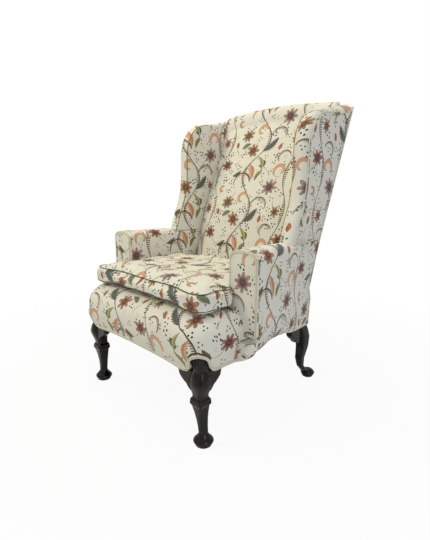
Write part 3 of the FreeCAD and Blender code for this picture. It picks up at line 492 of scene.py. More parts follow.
def through(points, t):
    """A smooth value at t from 0 to 1 through evenly or unevenly placed (place, value)."""
    for i in range(len(points) - 1):
        a, b = points[i], points[i + 1]
        if t <= b[0]:
            break
    before = points[max(0, i - 1)]
    after = points[min(len(points) - 1, i + 2)]
    span = b[0] - a[0]
    k = min(1.0, max(0.0, (t - a[0]) / span))
    m0 = (b[1] - before[1]) / max(1e-9, b[0] - before[0]) * span
    m1 = (after[1] - a[1]) / max(1e-9, after[0] - a[0]) * span
    k2, k3 = k * k, k * k * k
    return ((2 * k3 - 3 * k2 + 1) * a[1] + (k3 - 2 * k2 + k) * m0
            + (3 * k2 - 2 * k3) * b[1] + (k3 - k2) * m1)


def both_through(table, place):
    """The pair of values at a place through rows of (place, (value, value))."""
    return [through([(p, pair[i]) for p, pair in table], place) for i in (0, 1)]


def link(name, mesh, *materials):
    for material in materials:
        mesh.materials.append(material)
    made = bpy.data.objects.new(name, mesh)
    bpy.context.scene.collection.objects.link(made)
    return made


def shell(name, rows, cloth, material, ring=False, caps=False, shift=(0.0, 0.0)):
    """Quads between rows of points. cloth holds (u, v) in metres for each point."""
    mesh = bpy.data.meshes.new(name)
    across = len(rows[0])
    points = [p for row in rows for p in row]
    faces = []
    corners = []
    last = across if ring else across - 1
    for i in range(len(rows) - 1):
        for j in range(last):
            k = (j + 1) % across
            faces.append((i * across + j, i * across + k,
                          (i + 1) * across + k, (i + 1) * across + j))
            far = cloth[i][j + 1] if ring and j + 1 < len(cloth[i]) else cloth[i][k]
            far_up = cloth[i + 1][j + 1] if ring and j + 1 < len(cloth[i]) else cloth[i + 1][k]
            corners += [cloth[i][j], far, far_up, cloth[i + 1][j]]
    if caps:
        for i in (0, len(rows) - 1):
            faces.append(tuple(range(i * across, (i + 1) * across)))
            corners += cloth[i][:across]
    mesh.from_pydata(points, [], faces)
    layer = mesh.uv_layers.new(name="cloth")
    flat = []
    for u, v in corners:
        flat += [u + shift[0], v + shift[1]]
    layer.data.foreach_set("uv", flat)
    made = link(name, mesh, material)
    tool = bmesh.new()
    tool.from_mesh(mesh)
    bmesh.ops.remove_doubles(tool, verts=tool.verts, dist=1e-6)
    bmesh.ops.recalc_face_normals(tool, faces=tool.faces)
    tool.to_mesh(mesh)
    tool.free()
    smooth(made)
    return made


def smooth(piece):
    piece.data.polygons.foreach_set("use_smooth", [True] * len(piece.data.polygons))


def mirrored(row):
    return [Vector((-p.x, p.y, p.z)) for p in row]


def lengths(path):
    """Running length along a list of points, in metres."""
    run = [0.0]
    for a, b in zip(path, path[1:]):
        run.append(run[-1] + (b - a).length)
    return run


def dress(piece, slot, *replaced, body="chair", fill=None):
    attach(piece, body)
    if replaced:
        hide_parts(*replaced)
    triangles = sum(len(p.vertices) - 2 for p in piece.data.polygons)
    print(piece.name, triangles, "triangles")
    return piece


def cover_pair(name, rows, cloth, shifts, replaced, fill=0.8):
    """A closed cover on the left, and its mirror image with other cloth on the right."""
    for side, shift in zip(("left", "right"), shifts):
        side_rows = rows if side == "left" else [mirrored(row) for row in rows]
        piece = shell(name + side, side_rows, cloth, crewel, ring=True, caps=True, shift=shift)
        dress(piece, "printed_fabric", *[stem + side for stem in replaced], fill=fill)


def crumple(x, y, z, size, amount, seed):
    """A smooth random swell, the same each run."""
    return noise.noise(Vector((x, y, z)) / size + Vector((seed, seed * 0.7, -seed))) * amount


# %% [markdown]
# The back frame leans: upright to the arms, then raked. Every panel of the back
# and the wings follows this one line, so they meet at the rear corners.
# %% Lines that the panels share
seat_rear_x = 297.0
seat_rear_y = 266.0
back_foot_z = 270.0
back_bend_y = 246.0
back_bend_z = 448.0
back_rake = math.radians(15.15)
crest_height = 1162.0
outer_corner_z = 1122.0
outer_lean = 0.0636
arm_front_y = -197.0
arm_height = 628.0
arm_shoulder_z = 600.0
arm_panel_bottom = 346.0
arm_inner_x = 296.0
arm_outer_x = 420.0
seam_z = 618.0
wing_outer_x = 352.0


def back_line(z):
    if z <= back_bend_z:
        return blend(seat_rear_y, back_bend_y, (z - back_foot_z) / (back_bend_z - back_foot_z))
    return back_bend_y + (z - back_bend_z) * math.tan(back_rake)


def outer_edge(z):
    return seat_rear_x + (z - back_foot_z) * outer_lean


# %% [markdown]
# The inside back is one piece of cloth, from the deck up over the crest to the seam at
# the rear. It is stuffed fullest at the middle, and tucked in where the wings meet it,
# so its edges roll back into a dark crease with a few short pulls.
# %% Inside back
back_half = 297.0
back_low_z = 424.0
back_roll_z = 1096.0
back_rise = 740.0


def back_path(x):
    """Points of the cloth's line at one x, from the deck over the crest and down the rear."""
    edge = abs(x) / back_half
    fall = edge ** 2 * 17
    tuck_share = ease((edge - 0.84) / 0.16) ** 1.6
    crown = 17 * (1 - edge ** 4)
    front = []
    steps = 58
    top_z = back_roll_z - fall
    for i in range(steps + 1):
        z = blend(back_low_z, top_z, i / steps)
        share = (z - back_low_z) / back_rise
        thick = 106 - max(0.0, share - 0.37) * 104
        swell = crown * math.sin(math.pi * min(1.0, share * 1.115))
        lumps = crumple(x, 0, z, 95, 2.6, 3.0) + crumple(x, 0, z * 0.5, 30, 0.9, 8.0)
        tuck = min(17.0, thick - 47) * tuck_share
        y = back_line(max(z, back_bend_z)) - thick - swell + tuck + lumps
        front.append((y, z))
    y0, z0 = front[-1]
    y1 = back_line(outer_corner_z) - 24
    z1 = crest_height - 1 - fall
    y2 = back_line(outer_corner_z) - 4
    z2 = outer_corner_z - 5
    over = []
    for i in range(1, 15):
        a = i / 14 * math.pi / 2
        over.append((blend(y0, y1, 1 - math.cos(a)), blend(z0, z1, math.sin(a))))
    for i in range(1, 9):
        a = i / 8 * math.pi / 2
        over.append((blend(y1, y2, math.sin(a)), blend(z2, z1, math.cos(a))))
    return [at(x, y, z) for y, z in front + over]


def inside_back():
    rows = []
    cloth = []
    count = 66
    inner_heights = (back_roll_z, 760, back_bend_z, back_low_z)
    for j in range(count + 1):
        t = j / count * 2 - 1
        x = back_half * (t * 1.12 - 0.12 * t ** 3)
        path = back_path(x)
        run = lengths(path)
        inner = [at(x, back_line(z) - 36, z) for z in inner_heights]
        rows.append(path + inner)
        cloth.append([(x * 0.001, s) for s in run] + [(x * 0.001, 0.0)] * 4)
    return shell("inside_back_cover", rows, cloth, crewel, ring=True, caps=True,
                 shift=(0.030, 0.105))


dress(inside_back(), "printed_fabric", "inside_back", fill=0.8)

# %% [markdown]
# A wing is a board padded on the inner side. Its cloth rolls over the front and top edge
# to a seam on the outside. In plan the roll is half a soft oval, so the skin goes from a
# line deep inside, out along the inner face, round the roll and back along the outer face.
# %% Wings
wing_foot_z = 612.0
corner_depth_z = 1086.0
wing_edge = [(0.0, (46, 618)), (0.09, (62, 662)), (0.19, (79, 710)), (0.29, (98, 760)),
             (0.39, (110, 811)), (0.50, (116, 868)), (0.60, (117, 922)), (0.70, (118, 972)),
             (0.77, (128, 1014)), (0.83, (144, 1046)), (0.88, (166, 1072)),
             (0.92, (196, 1091)), (0.955, (236, 1101)), (1.0, (300, 1108)),
             (1.06, (360, 1122)), (1.12, (420, 1136))]


def wing_line(share):
    return both_through(wing_edge, share)


def wing_inward(share):
    """Unit direction from the edge into the wing, in its plane."""
    y0, z0 = wing_line(max(0.0, share - 0.01))
    y1, z1 = wing_line(min(1.12, share + 0.01))
    dy, dz = y1 - y0, z1 - z0
    size = math.hypot(dy, dz)
    return dz / size, -dy / size


def wing():
    rows = []
    cloth = []
    count = 84
    for i in range(count + 1):
        share = 1.10 * i / count
        y, z = wing_line(share)
        ny, nz = wing_inward(share)
        deep_z = blend(wing_foot_z, corner_depth_z, ease(share / 1.02)) if share < 1.02 else (
            blend(corner_depth_z, z - 30, (share - 1.02) / 0.08))
        deep_z = min(deep_z, z - 4)
        deep_y = back_line(deep_z) - 5
        ring = []
        for k in range(7):
            t = k / 7
            ring.append((arm_inner_x + 1.5 * math.sin(t * math.pi), blend(deep_y, y + ny * 12, t),
                         blend(deep_z, z + nz * 12, t)))
        roll = 20
        fall = 30.0
        soft = 1.5 * crumple(y, z, share * 40, 60, 1.0, 5.0)
        outer_x = wing_outer_x + 2
        for k in range(roll + 1):
            a = k / roll * math.pi
            inset = 12 * (1 - math.sin(a) ** 0.8) if a < math.pi / 2 else (
                fall * (1 - math.sin(a) ** 0.75))
            x = blend(arm_inner_x, outer_x, (1 - math.cos(a)) / 2 * 0.94 + 0.03 * (k / roll) * 2)
            ring.append((x, y + ny * inset - soft * math.sin(a),
                         z + nz * inset - soft * 0.5 * math.sin(a)))
        outer_deep_y = max(deep_y, y + ny * fall + 1)
        for k in range(1, 9):
            t = k / 8
            py = blend(y + ny * fall, outer_deep_y, t)
            pz = blend(z + nz * fall, deep_z, t)
            x = blend(358, outer_edge(pz) + 1, (py + 40) / (back_line(pz) + 40))
            ring.append((min(outer_x, x) - (0.6 if k == 1 else 0), py, pz))
        seam = 7 + roll
        ring.insert(seam, ring[seam])
        points = [at(*p) for p in ring]
        rows.append(points)
        run = 0.0
        marks = []
        for k, p in enumerate(points):
            y_flat, z_flat = p.y, p.z
            if k <= 7:
                marks.append((y_flat, z_flat))
            elif k > seam:
                marks.append((0.33 - y_flat, z_flat))
            else:
                run += (p - points[k - 1]).length
                marks.append((marks[7][0] - run * 0.9, p.z))
        cloth.append(marks)
    return rows, cloth


cover_pair("wing_cover_", *wing(), ((0.085, 0.02), (0.27, 0.20)),
           ("inside_wing_", "wing_border_", "outside_wing_"))

# %% [markdown]
# The arm is one long cover: up the inner face, over the rounded top, down the outer face,
# and round the belly to the tacks under the rail. It is flared, so the outer line leaves
# the frame towards the front, and it runs into the outside back at the rear.
# %% Arms
base_line = [(-240, (352, 262)), (-197, (358, 268)), (-113, (353, 283)), (-50, (341, 290)),
             (59, (327, 281)), (124, (320, 268)), (258, (298, 262)), (275, (297, 262))]


def arm_out(y, z):
    rear = back_line(z)
    return blend(arm_outer_x, outer_edge(z) + 1, (y - arm_front_y) / (rear - arm_front_y))


def arm_section(y):
    """Points of the cover's line at one place along the arm."""
    under_wing = ease((y - 20) / 45)
    top = blend(arm_height, seam_z, under_wing) - 2 * ease((y + 150) / 200)
    shoulder = blend(arm_shoulder_z, 610, under_wing)
    inner = arm_inner_x + 0.5
    out = arm_out(y, shoulder)
    points = []
    for i in range(12):
        z = blend(372, shoulder - 8, i / 11)
        puff = 1.0 * math.sin(i / 11 * math.pi) + crumple(y, z, 0, 70, 0.8, 4.0)
        points.append((inner - puff * (1 - under_wing), y, z))
    steps = 26
    low = shoulder - 8
    for i in range(1, steps):
        a = math.pi * i / steps
        x = blend(inner, out, (1 - math.cos(a)) / 2)
        squared = math.sin(a) ** 0.62
        z = blend(low, top, squared)
        lump = crumple(y, x, z, 55, 1.0, 6.0)
        points.append((x, y, z + lump))
    for i in range(15):
        z = blend(low, arm_panel_bottom + 14, i / 14)
        swell = 1.2 * math.sin(i / 14 * math.pi)
        points.append((arm_out(y, z) + swell, y, z))
    base_x, base_z = both_through(base_line, y)
    out_low = arm_out(y, arm_panel_bottom + 14)
    for i in range(1, 15):
        a = i / 14 * math.pi / 2
        x = blend(base_x + 1, out_low, math.cos(a) ** 0.85)
        z = blend(arm_panel_bottom + 14, base_z, math.sin(a) ** 1.05)
        points.append((x, y, z))
    points.append((base_x - 5, y, base_z + 1))
    return points


def arm():
    rows = []
    cloth = []
    places = [arm_front_y + 5 + i * 6.0 for i in range(41)]
    rear_steps = 20
    for i in range(len(places) + rear_steps):
        if i < len(places):
            y = places[i]
            section = arm_section(y)
        else:
            t = (i - len(places) + 1) / rear_steps
            section = []
            start = places[-1]
            raw = arm_section(min(blend(start, 262, t), 262))
            for x, _, z in raw:
                rear = back_line(max(z, back_foot_z)) - 3
                y = blend(start, rear, t)
                if x > arm_inner_x + 6:
                    x = min(x, arm_out(y, z) + 1)
                section.append((x, y, z))
        points = [at(*p) for p in section]
        rows.append(points)
        top = points[24].z
        run = lengths(points)
        peak = run[24]
        marks = []
        for k, p in enumerate(points):
            marks.append((p.y, top + run[k] - peak if k < 24 else top - run[k] + peak))
        cloth.append(marks)
    return rows, cloth


cover_pair("arm_cover_", *arm(), ((0.115, 0.115), (0.31, 0.03)),
           ("inside_arm_", "outside_arm_"))

# %% [markdown]
# The front of each arm is a separate flat panel with a round top. Its edge is turned
# under a cord, so it stands a little proud and its face swells slightly in the middle.
# %% Arm front panels
panel_middle_x = (arm_inner_x + arm_outer_x) / 2
panel_middle_z = (arm_panel_bottom + arm_height) / 2


def arch_outline(x0, x1, z0, z1, shoulder, count):
    """Points round an upright panel with a rounded top, from its lower inner corner."""
    path = []
    width = (x1 - x0) / 2
    middle = (x0 + x1) / 2
    for i in range(count):
        path.append((x0, blend(z0, shoulder, i / count)))
    for i in range(2 * count + 1):
        a = math.pi * i / (2 * count)
        lift = math.sin(a) ** 0.62
        path.append((middle - width * math.cos(a), blend(shoulder, z1, lift)))
    for i in range(1, count + 1):
        path.append((x1, blend(shoulder, z0, i / count)))
    for i in range(1, count):
        path.append((blend(x1, x0, i / count), z0))
    return path


def arm_panel_rows():
    outline = arch_outline(arm_inner_x + 1, arm_outer_x - 1, arm_panel_bottom - 1, arm_height - 1,
                           arm_shoulder_z - 8, 22)
    rows = []
    cloth = []
    plan = [(8, 1.0), (4, 1.0), (1.2, 0.995), (-1.5, 0.97), (-3.2, 0.90), (-4.6, 0.75),
            (-5.4, 0.55), (-5.8, 0.3), (-5.9, 0.04)]
    for back, scale in plan:
        row = []
        marks = []
        for x, z in outline:
            px = blend(panel_middle_x, x, scale)
            pz = blend(panel_middle_z, z, scale)
            dent = crumple(px, pz, 0, 50, 0.5, 2.0) if back < 0 else 0
            row.append(at(px, arm_front_y + back + dent, pz))
            marks.append((px * 0.001, pz * 0.001))
        rows.append(row)
        cloth.append(marks)
    return rows, cloth


cover_pair("arm_panel_", *arm_panel_rows(), ((-0.238, -0.339), (-0.45, -0.30)),
           ("arm_front_panel_",), fill=0.9)

# %% [markdown]
# The seat front is a soft apron. It bulges over the rail, rolls back under the cushion,
# and its lower edge is cut away over each knee so that the carved shell shows.
# Its columns follow the plan from one arm round both corners to the other, and every
# column starts at its own height, which gives the arches without any cutting.
# The hem has one column more, where its cords enter the right corner.
# %% Seat front
seat_front_y = -376.0
seat_corner_x = 350.0
seat_profile = [(252, (-1, 22)), (262, (0, 30)), (285, (5, 40)), (310, (9.5, 58)),
                (340, (12, 74)), (366, (11, 76)), (388, (6, 74)), (404, (-2, 70)),
                (416, (-12, 64)), (425, (-24, 58)), (430, (-40, 52))]


seat_arc_half = 27.0
seat_side_length = 150.0
seat_front_half = 310.0
front_arch = [(0, 316), (10, 312), (20, 301), (30, 284), (40, 270), (52, 261), (66, 256),
              (90, 254), (130, 257), (200, 261), (340, 263)]
side_arch = front_arch[:6] + [(66, 259), (90, 261), (130, 263), (200, 266), (340, 268)]
seat_half = [("side", 1 - i / 14) for i in range(14)]
seat_half += [("arc", i / 26) for i in range(27)]
seat_half += [("front", (i + 1) / 40) for i in range(40)]
seat_columns = [(s, t, 1) for s, t in seat_half]
seat_columns += [(s, t, -1) for s, t in reversed(seat_half[:-1])]
right_corner = len(seat_half) + 39
hem_columns = seat_columns[:right_corner] + [("front", 0.0, -1)] + seat_columns[right_corner:]


def seat_distance(segment, t):
    """Distance along the plan from the middle of the corner, in millimetres."""
    if segment == "arc":
        return abs(t - 0.5) * 2 * seat_arc_half
    return seat_arc_half + t * (seat_side_length if segment == "side" else seat_front_half)


def seat_bottom(segment, t):
    """Height of the lower edge at one column."""
    return through(side_arch if segment == "side" else front_arch, seat_distance(segment, t))


def seat_point(segment, t, z):
    out, radius = both_through(seat_profile, z)
    x1 = seat_corner_x + out
    y1 = seat_front_y - out * 1.6 + (0 if out > 0 else out * 0.2)
    if segment == "side":
        y = blend(y1 + radius, arm_front_y + 6, t)
        return (blend(x1, seat_corner_x + 5 + out * 0.9, t), y)
    if segment == "front":
        sag = 2.5 * math.sin(t * math.pi / 2)
        return (blend(x1 - radius, 0, t), y1 + sag - 2.5)
    a = (t - 0.5) * math.pi / 2 + math.pi / 4
    return (x1 - radius + radius * math.cos(a), y1 + radius - radius * math.sin(a)
            - 2.5 * ease(t))


def seat_front():
    rows = []
    cloth = []
    along = 0.0
    last = None
    for segment, t, sign in seat_columns:
        low = seat_bottom(segment, t)
        flat = seat_point(segment, t, 340)
        here = Vector((flat[0] * sign, flat[1]))
        if last is not None:
            along += (here - last).length * 0.001
        last = here
        path = []
        inner_x, inner_y = seat_point(segment, t, low)
        direction = Vector((0.0, 1.0)) if segment == "front" else Vector((-1.0, 0.0))
        if segment == "arc":
            direction = Vector((-math.cos(math.pi / 4), math.sin(math.pi / 4)))
        path.append((inner_x + direction.x * 14, inner_y + direction.y * 14, low + 8))
        path.append((inner_x + direction.x * 8, inner_y + direction.y * 8, low + 1.5))
        steps = 34
        for i in range(steps + 1):
            z = blend(low, 429.5, (i / steps) ** 0.92)
            x, y = seat_point(segment, t, z)
            rise = (z - low) / (430 - low)
            puff = crumple(x * sign, y, z, 80, 2.2, 9.0) * math.sin(rise * math.pi) ** 0.7
            crease = crumple(along * 1000, z * 0.35, 0, 26, 0.8, 12.0) * math.sin(
                rise * math.pi)
            path.append((x - direction.x * (puff + crease), y - direction.y * (puff + crease), z))
        x, y = seat_point(segment, t, 430)
        for k in range(1, 5):
            path.append((x + direction.x * 13 * k, y + direction.y * 13 * k, 429.6))
        points = [at(px * sign, py, pz) for px, py, pz in path]
        rows.append(points)
        run = lengths(points)
        cloth.append([(along, 0.34 + run[k] - run[18]) for k in range(len(points))])
    return rows, cloth


rows, cloth = seat_front()
piece = shell("seat_front_cover", rows, cloth, crewel, shift=(0.155, -0.045))
thick = piece.modifiers.new("cloth", "SOLIDIFY")
thick.thickness = 0.004
thick.offset = -1
dress(piece, "printed_fabric", "front_seat_cover", fill=0.8)

# %% [markdown]
# In front of each arm panel the belly of the arm runs out in a rounded nose.
# It is a quarter of an egg: the arm's own lower line, drawn in towards the seat side.
# %% Noses of the arms


def arm_nose():
    rows = []
    cloth = []
    count = 18
    reach = 30.0
    for i in range(count + 1):
        s = math.sin(i / count * math.pi / 2)
        share = math.cos(math.asin(min(1.0, s)))
        y = arm_front_y + 6 - (reach + 6) * s
        wide = share ** 0.75
        base_x, base_z = both_through(base_line, max(y, -235))
        out = blend(366, arm_outer_x - 1, wide)
        top = arm_panel_bottom - 2 - 42 * (1 - share)
        path = []
        for k in range(21):
            a = k / 20 * math.pi / 2
            path.append((blend(base_x, out, math.sin(a) ** 0.85),
                         blend(top - 8 * share, base_z, math.cos(a) ** 1.05)))
        for k in range(1, 9):
            a = k / 8 * math.pi / 2
            path.append((blend(348, out, math.cos(a) ** 0.7), top - 8 * share
                         + 8 * share * math.sin(a)))
        path.append((348, base_z))
        points = [at(x, y, z) for x, z in path]
        rows.append(points)
        run = lengths(points)
        cloth.append([(p.x * 0.7 - p.y, s) for p, s in zip(points, run)])
    return rows, cloth


cover_pair("arm_nose_", *arm_nose(), ((0.02, 0.0), (0.19, 0.16)), ("arm_belly_",))

# %% [markdown]
# The outside back is plain stretched cloth on the flat of the frame, raked with it.
# %% Outside back


def outside_back():
    rows = []
    cloth = []
    count = 60
    for i in range(count + 1):
        z = blend(back_foot_z, outer_corner_z - 6, i / count)
        half = outer_edge(z) - 0.5
        y = max(back_line(z), 267.5 - 21.5 * ease((z - 362) / 86))
        row = []
        marks = []
        wide = 34
        for j in range(wide + 1):
            t = j / wide * 2 - 1
            edge = (1 - t ** 6) * (1 - abs(i / count * 2 - 1) ** 8)
            sag = 1.4 * edge + crumple(t * 300, z, 0, 110, 0.8, 4.0) * edge
            row.append(at(t * half, y - 0.5 + sag, z))
            marks.append((-t * half * 0.001, z * 0.001))
        for t in (1, 0.6, 0.2, -0.2, -0.6, -1):
            row.append(at(t * half, y - 5, z))
            marks.append((-t * half * 0.001, z * 0.001))
        rows.append(row)
        cloth.append(marks)
    return rows, cloth


rows, cloth = outside_back()
piece = shell("outside_back_cover", rows, cloth, crewel, ring=True, caps=True,
              shift=(0.06, 0.14))
dress(piece, "printed_fabric", "outside_back")

# %% [markdown]
# The loose cushion is T-shaped, with ears that reach round the arm fronts. A plain block
# has no lived-in skin, so it is remeshed and blown up a little as cloth with no gravity.
# Top and bottom panels get their pattern from above, the boxing from its own outline.
# %% Seat cushion


def copy_of(node, name):
    source = bpy.data.objects[node]
    mesh = source.data.copy()
    mesh.transform(source.matrix_world)
    mesh.materials.clear()
    mesh.name = name
    return link(name, mesh)


def use(piece, kind, **settings):
    made = piece.modifiers.new(kind.lower(), kind)
    for key, value in settings.items():
        setattr(made, key, value)
    return made


def settle(piece):
    """The piece's evaluated shape becomes its own mesh."""
    graph = bpy.context.evaluated_depsgraph_get()
    mesh = bpy.data.meshes.new_from_object(piece.evaluated_get(graph))
    piece.modifiers.clear()
    piece.data = mesh


def reshape(piece, kind, **settings):
    use(piece, kind, **settings)
    settle(piece)


def blown(piece, pressure, frames):
    reshape(piece, "REMESH", mode="VOXEL", voxel_size=0.0065)
    reshape(piece, "CORRECTIVE_SMOOTH", iterations=8, smooth_type="SIMPLE",
            use_only_smooth=True)
    soft = use(piece, "CLOTH")
    for key, value in {"use_pressure": True, "uniform_pressure_force": pressure,
                       "shrink_min": -0.04, "tension_stiffness": 12,
                       "compression_stiffness": 12, "bending_stiffness": 0.4}.items():
        setattr(soft.settings, key, value)
    soft.settings.effector_weights.gravity = 0.0
    soft.point_cache.frame_start = 1
    soft.point_cache.frame_end = frames
    for i in range(1, frames + 1):
        bpy.context.scene.frame_set(i)
    settle(piece)
    bpy.context.scene.frame_set(1)
    return piece


cushion_top = 520.0
cushion_low = 430.0
cushion_rear = 0.1215
ear_half = 0.3265
ear_rear = -0.2230
body_half = 0.2932
turn_centre = 0.12
boxing_top = 0.4995
boxing_bottom = 0.4460


def loop_at(mesh, z, half=0.0035):
    """Where a closed skin lies at one height: the outermost points, as an ordered loop."""
    table = {}
    for vertex in mesh.vertices:
        p = vertex.co
        if abs(p.z - z) > half:
            continue
        turn = round(math.atan2(p.y + turn_centre, p.x) / math.radians(1.5))
        reach = math.hypot(p.y + turn_centre, p.x)
        if turn not in table or reach > table[turn][0]:
            table[turn] = (reach, p)
    loop = [Vector((table[turn][1].x, table[turn][1].y, z)) for turn in sorted(table)]
    for _ in range(2):
        loop = [(loop[i - 1] + loop[i] * 2 + loop[(i + 1) % len(loop)]) / 4
                for i in range(len(loop))]
    return loop


def cushion_cloth(piece, shift):
    """Cloth coordinates: from above on the faces, along the outline on the boxing."""
    mesh = piece.data
    layer = mesh.uv_layers.get("cloth") or mesh.uv_layers.new(name="cloth")
    loop = loop_at(mesh, 0.470)
    run = lengths(loop + loop[:1])
    turns = [math.atan2(p.y + turn_centre, p.x) for p in loop]
    around = []
    for vertex in mesh.vertices:
        turn = math.atan2(vertex.co.y + turn_centre, vertex.co.x)
        i = bisect.bisect(turns, turn) % len(turns)
        before = turns[i - 1]
        gap = (turns[i] - before) % (2 * math.pi)
        share = ((turn - before) % (2 * math.pi)) / max(1e-6, gap)
        first = run[i - 1] if i else run[len(loop) - 1]
        last = run[i] if i else run[len(loop)]
        around.append(blend(first, last, min(1.0, share)))
    data = []
    for polygon in mesh.polygons:
        flat = not boxing_bottom - 0.0002 <= polygon.center.z <= boxing_top
        base = around[polygon.vertices[0]]
        for index in polygon.vertices:
            p = mesh.vertices[index].co
            if flat:
                data += [p.x + shift[0], p.y + shift[1]]
            else:
                u = around[index]
                u += run[-1] * round((base - u) / run[-1])
                data += [-u + shift[0], p.z + shift[1] + 0.06]
    layer.data.foreach_set("uv", data)


def seat_cushion_cover():
    piece = copy_of("seat_cushion", "seat_cushion_cover")
    blown(piece, 1.6, 14)
    bottom = (cushion_low - 0.4) * 0.001
    top = cushion_top * 0.001
    front = at(0, -352, 0).y - 0.003
    for vertex in piece.data.vertices:
        p = vertex.co
        x, y, z = p.x * 1000, p.y * 1000, p.z * 1000
        upper = ease((z - 488) / 20)
        lumps = crumple(x, y, 0, 120, 3.6, 1.0) + crumple(x, y * 1.4, 0, 42, 1.5, 2.0)
        pulls = -abs(crumple(x * 0.7, y * 2.2, 0, 34, 3.2, 4.0)) * ease((y + 230) / 160)
        side = 1 - upper
        swing = crumple(x, y, z * 2, 50, 1.6, 7.0) * side
        p.z += (lumps + pulls) * upper * 0.001
        p.x += swing * 0.001 * (1 if x > 0 else -1)
        p.y += swing * 0.001 * (-1 if y < 0 else 1)
        p.z = min(top, max(bottom, p.z))
        p.x = max(-ear_half, min(ear_half, p.x))
        p.y = max(front, min(cushion_rear, p.y))
        over_x = abs(p.x) - body_half
        over_y = p.y - ear_rear
        if over_x > 0 and over_y > 0:
            if over_x < over_y:
                p.x = math.copysign(body_half, p.x)
            else:
                p.y = ear_rear
    reshape(piece, "SUBSURF", levels=1, render_levels=1)
    smooth(piece)
    cushion_cloth(piece, (0.02, 0.165))
    piece.data.materials.clear()
    piece.data.materials.append(crewel)
    return piece


cushion = seat_cushion_cover()
dress(cushion, "printed_fabric", "seat_cushion", body="cushion", fill=0.6)
print("cushion", [round(v, 4) for v in cushion.dimensions])

# %% [markdown]
# Under the cushion lies plain cloth on soft stuffing, a little higher in the middle.
# %% Seat deck


def plain_finish(name, colour, other, scale, rough, weave=0.0):
    """A plain worn surface, coloured by noise on the object's own coordinates."""
    finish = Finish(name)
    place = finish.place()
    cloud = finish.noise(place, scale, 4.0)
    tint = finish.mix(cloud, colour, other)
    grain = finish.noise(place, scale * 22, 2.0)
    values = {"Base Color": tint, "Roughness": rough}
    if weave:
        values["Sheen Weight"] = weave
    finish.surface(values, grain, 0.35, 0.0006)
    return finish.material


deck_cloth = plain_finish("deck_cloth", rgb(214, 206, 186), rgb(198, 190, 168), 14, 0.9, 0.15)
deck = copy_of("seat_deck", "seat_deck_cover")
reshape(deck, "REMESH", mode="VOXEL", voxel_size=0.007)
for vertex in deck.data.vertices:
    p = vertex.co
    if p.z > 0.405:
        rise = crumple(p.x * 1000, p.y * 1000, 0, 70, 1.6, 3.0)
        p.z = min(0.4296, p.z + min(0.0, rise) * 0.001)
smooth(deck)
deck.data.materials.append(deck_cloth)
dress(deck, "deck_cloth", "seat_deck", fill=0.7)

# %% [markdown]
# Cords are sewn into the seams. One Geometry Nodes tree makes them all: a path is
# resampled, and a round section is swept along it. A double cord is two paths side by side.
# %% Cords along the seams


def cord_tree():
    tree = bpy.data.node_groups.new("cord", "GeometryNodeTree")
    face = tree.interface
    sockets = {}
    for name, way, kind in (("Path", "INPUT", "Geometry"), ("Thickness", "INPUT", "Float"),
                            ("Spacing", "INPUT", "Float"), ("Cover", "INPUT", "Material"),
                            ("Cord", "OUTPUT", "Geometry")):
        made = face.new_socket(name, in_out=way, socket_type="NodeSocket" + kind)
        sockets[name] = made.identifier

    def node(kind, values=None):
        made = tree.nodes.new(kind)
        for key, value in (values or {}).items():
            if isinstance(value, bpy.types.NodeSocket):
                tree.links.new(value, made.inputs[key])
            else:
                made.inputs[key].default_value = value
        return made

    given = tree.nodes.new("NodeGroupInput").outputs
    line = node("GeometryNodeMeshToCurve", {"Mesh": given["Path"]})
    even = node("GeometryNodeResampleCurve", {"Curve": line.outputs["Curve"]})
    even.mode = "LENGTH"
    tree.links.new(given["Spacing"], even.inputs["Length"])
    section = node("GeometryNodeCurvePrimitiveCircle", {"Resolution": 10})
    tree.links.new(given["Thickness"], section.inputs["Radius"])
    swept = node("GeometryNodeCurveToMesh", {"Curve": even.outputs["Curve"],
                                             "Profile Curve": section.outputs["Curve"],
                                             "Fill Caps": True})
    covered = node("GeometryNodeSetMaterial", {"Geometry": swept.outputs["Mesh"]})
    tree.links.new(given["Cover"], covered.inputs["Material"])
    shaded = node("GeometryNodeSetShadeSmooth", {})
    tree.links.new(covered.outputs["Geometry"], shaded.inputs[0])
    out = tree.nodes.new("NodeGroupOutput")
    tree.links.new(shaded.outputs[0], out.inputs["Cord"])
    return tree, sockets


cord_nodes, cord_inputs = cord_tree()


def cord(name, paths, radius, material, slot="printed_fabric", body="chair"):
    """Cords along lists of points, as one piece."""
    mesh = bpy.data.meshes.new(name)
    points = []
    edges = []
    for path, closed in paths:
        first = len(points)
        points += path
        edges += [(first + i, first + i + 1) for i in range(len(path) - 1)]
        if closed:
            edges.append((len(points) - 1, first))
    mesh.from_pydata(points, edges, [])
    piece = link(name, mesh)
    tool = piece.modifiers.new("cord", "NODES")
    tool.node_group = cord_nodes
    tool[cord_inputs["Thickness"]] = radius
    tool[cord_inputs["Spacing"]] = max(0.0035, radius * 1.3)
    tool[cord_inputs["Cover"]] = material
    settle(piece)
    return dress(piece, slot, body=body)


def both(path):
    return [(path, False), (mirrored(path), False)]


def thread_finish(name, colour, other):
    """A matt bias-cut cord: its threads run across it at a slant."""
    finish = Finish(name)
    twill = finish.wave("DIAGONAL", finish.place(), 260.0, Distortion=1.5)
    tint = finish.mix(twill * 0.6, colour, other)
    finish.surface({"Base Color": tint, "Roughness": 0.9}, twill, 0.4, 0.0004)
    return finish.material


cream_cord = thread_finish("cream_cord", rgb(226, 221, 204), rgb(196, 189, 168))
# The wings' inner cords are real self-piping, but their dark olive colour is painted shade: it
# stands for the piping in shadow at the rolled edge.
olive_cord_painted_shade = thread_finish("olive_cord_painted_shade", rgb(150, 134, 58), rgb(104, 92, 36))
seam_cord = thread_finish("seam_cord", rgb(92, 82, 62), rgb(56, 50, 40))

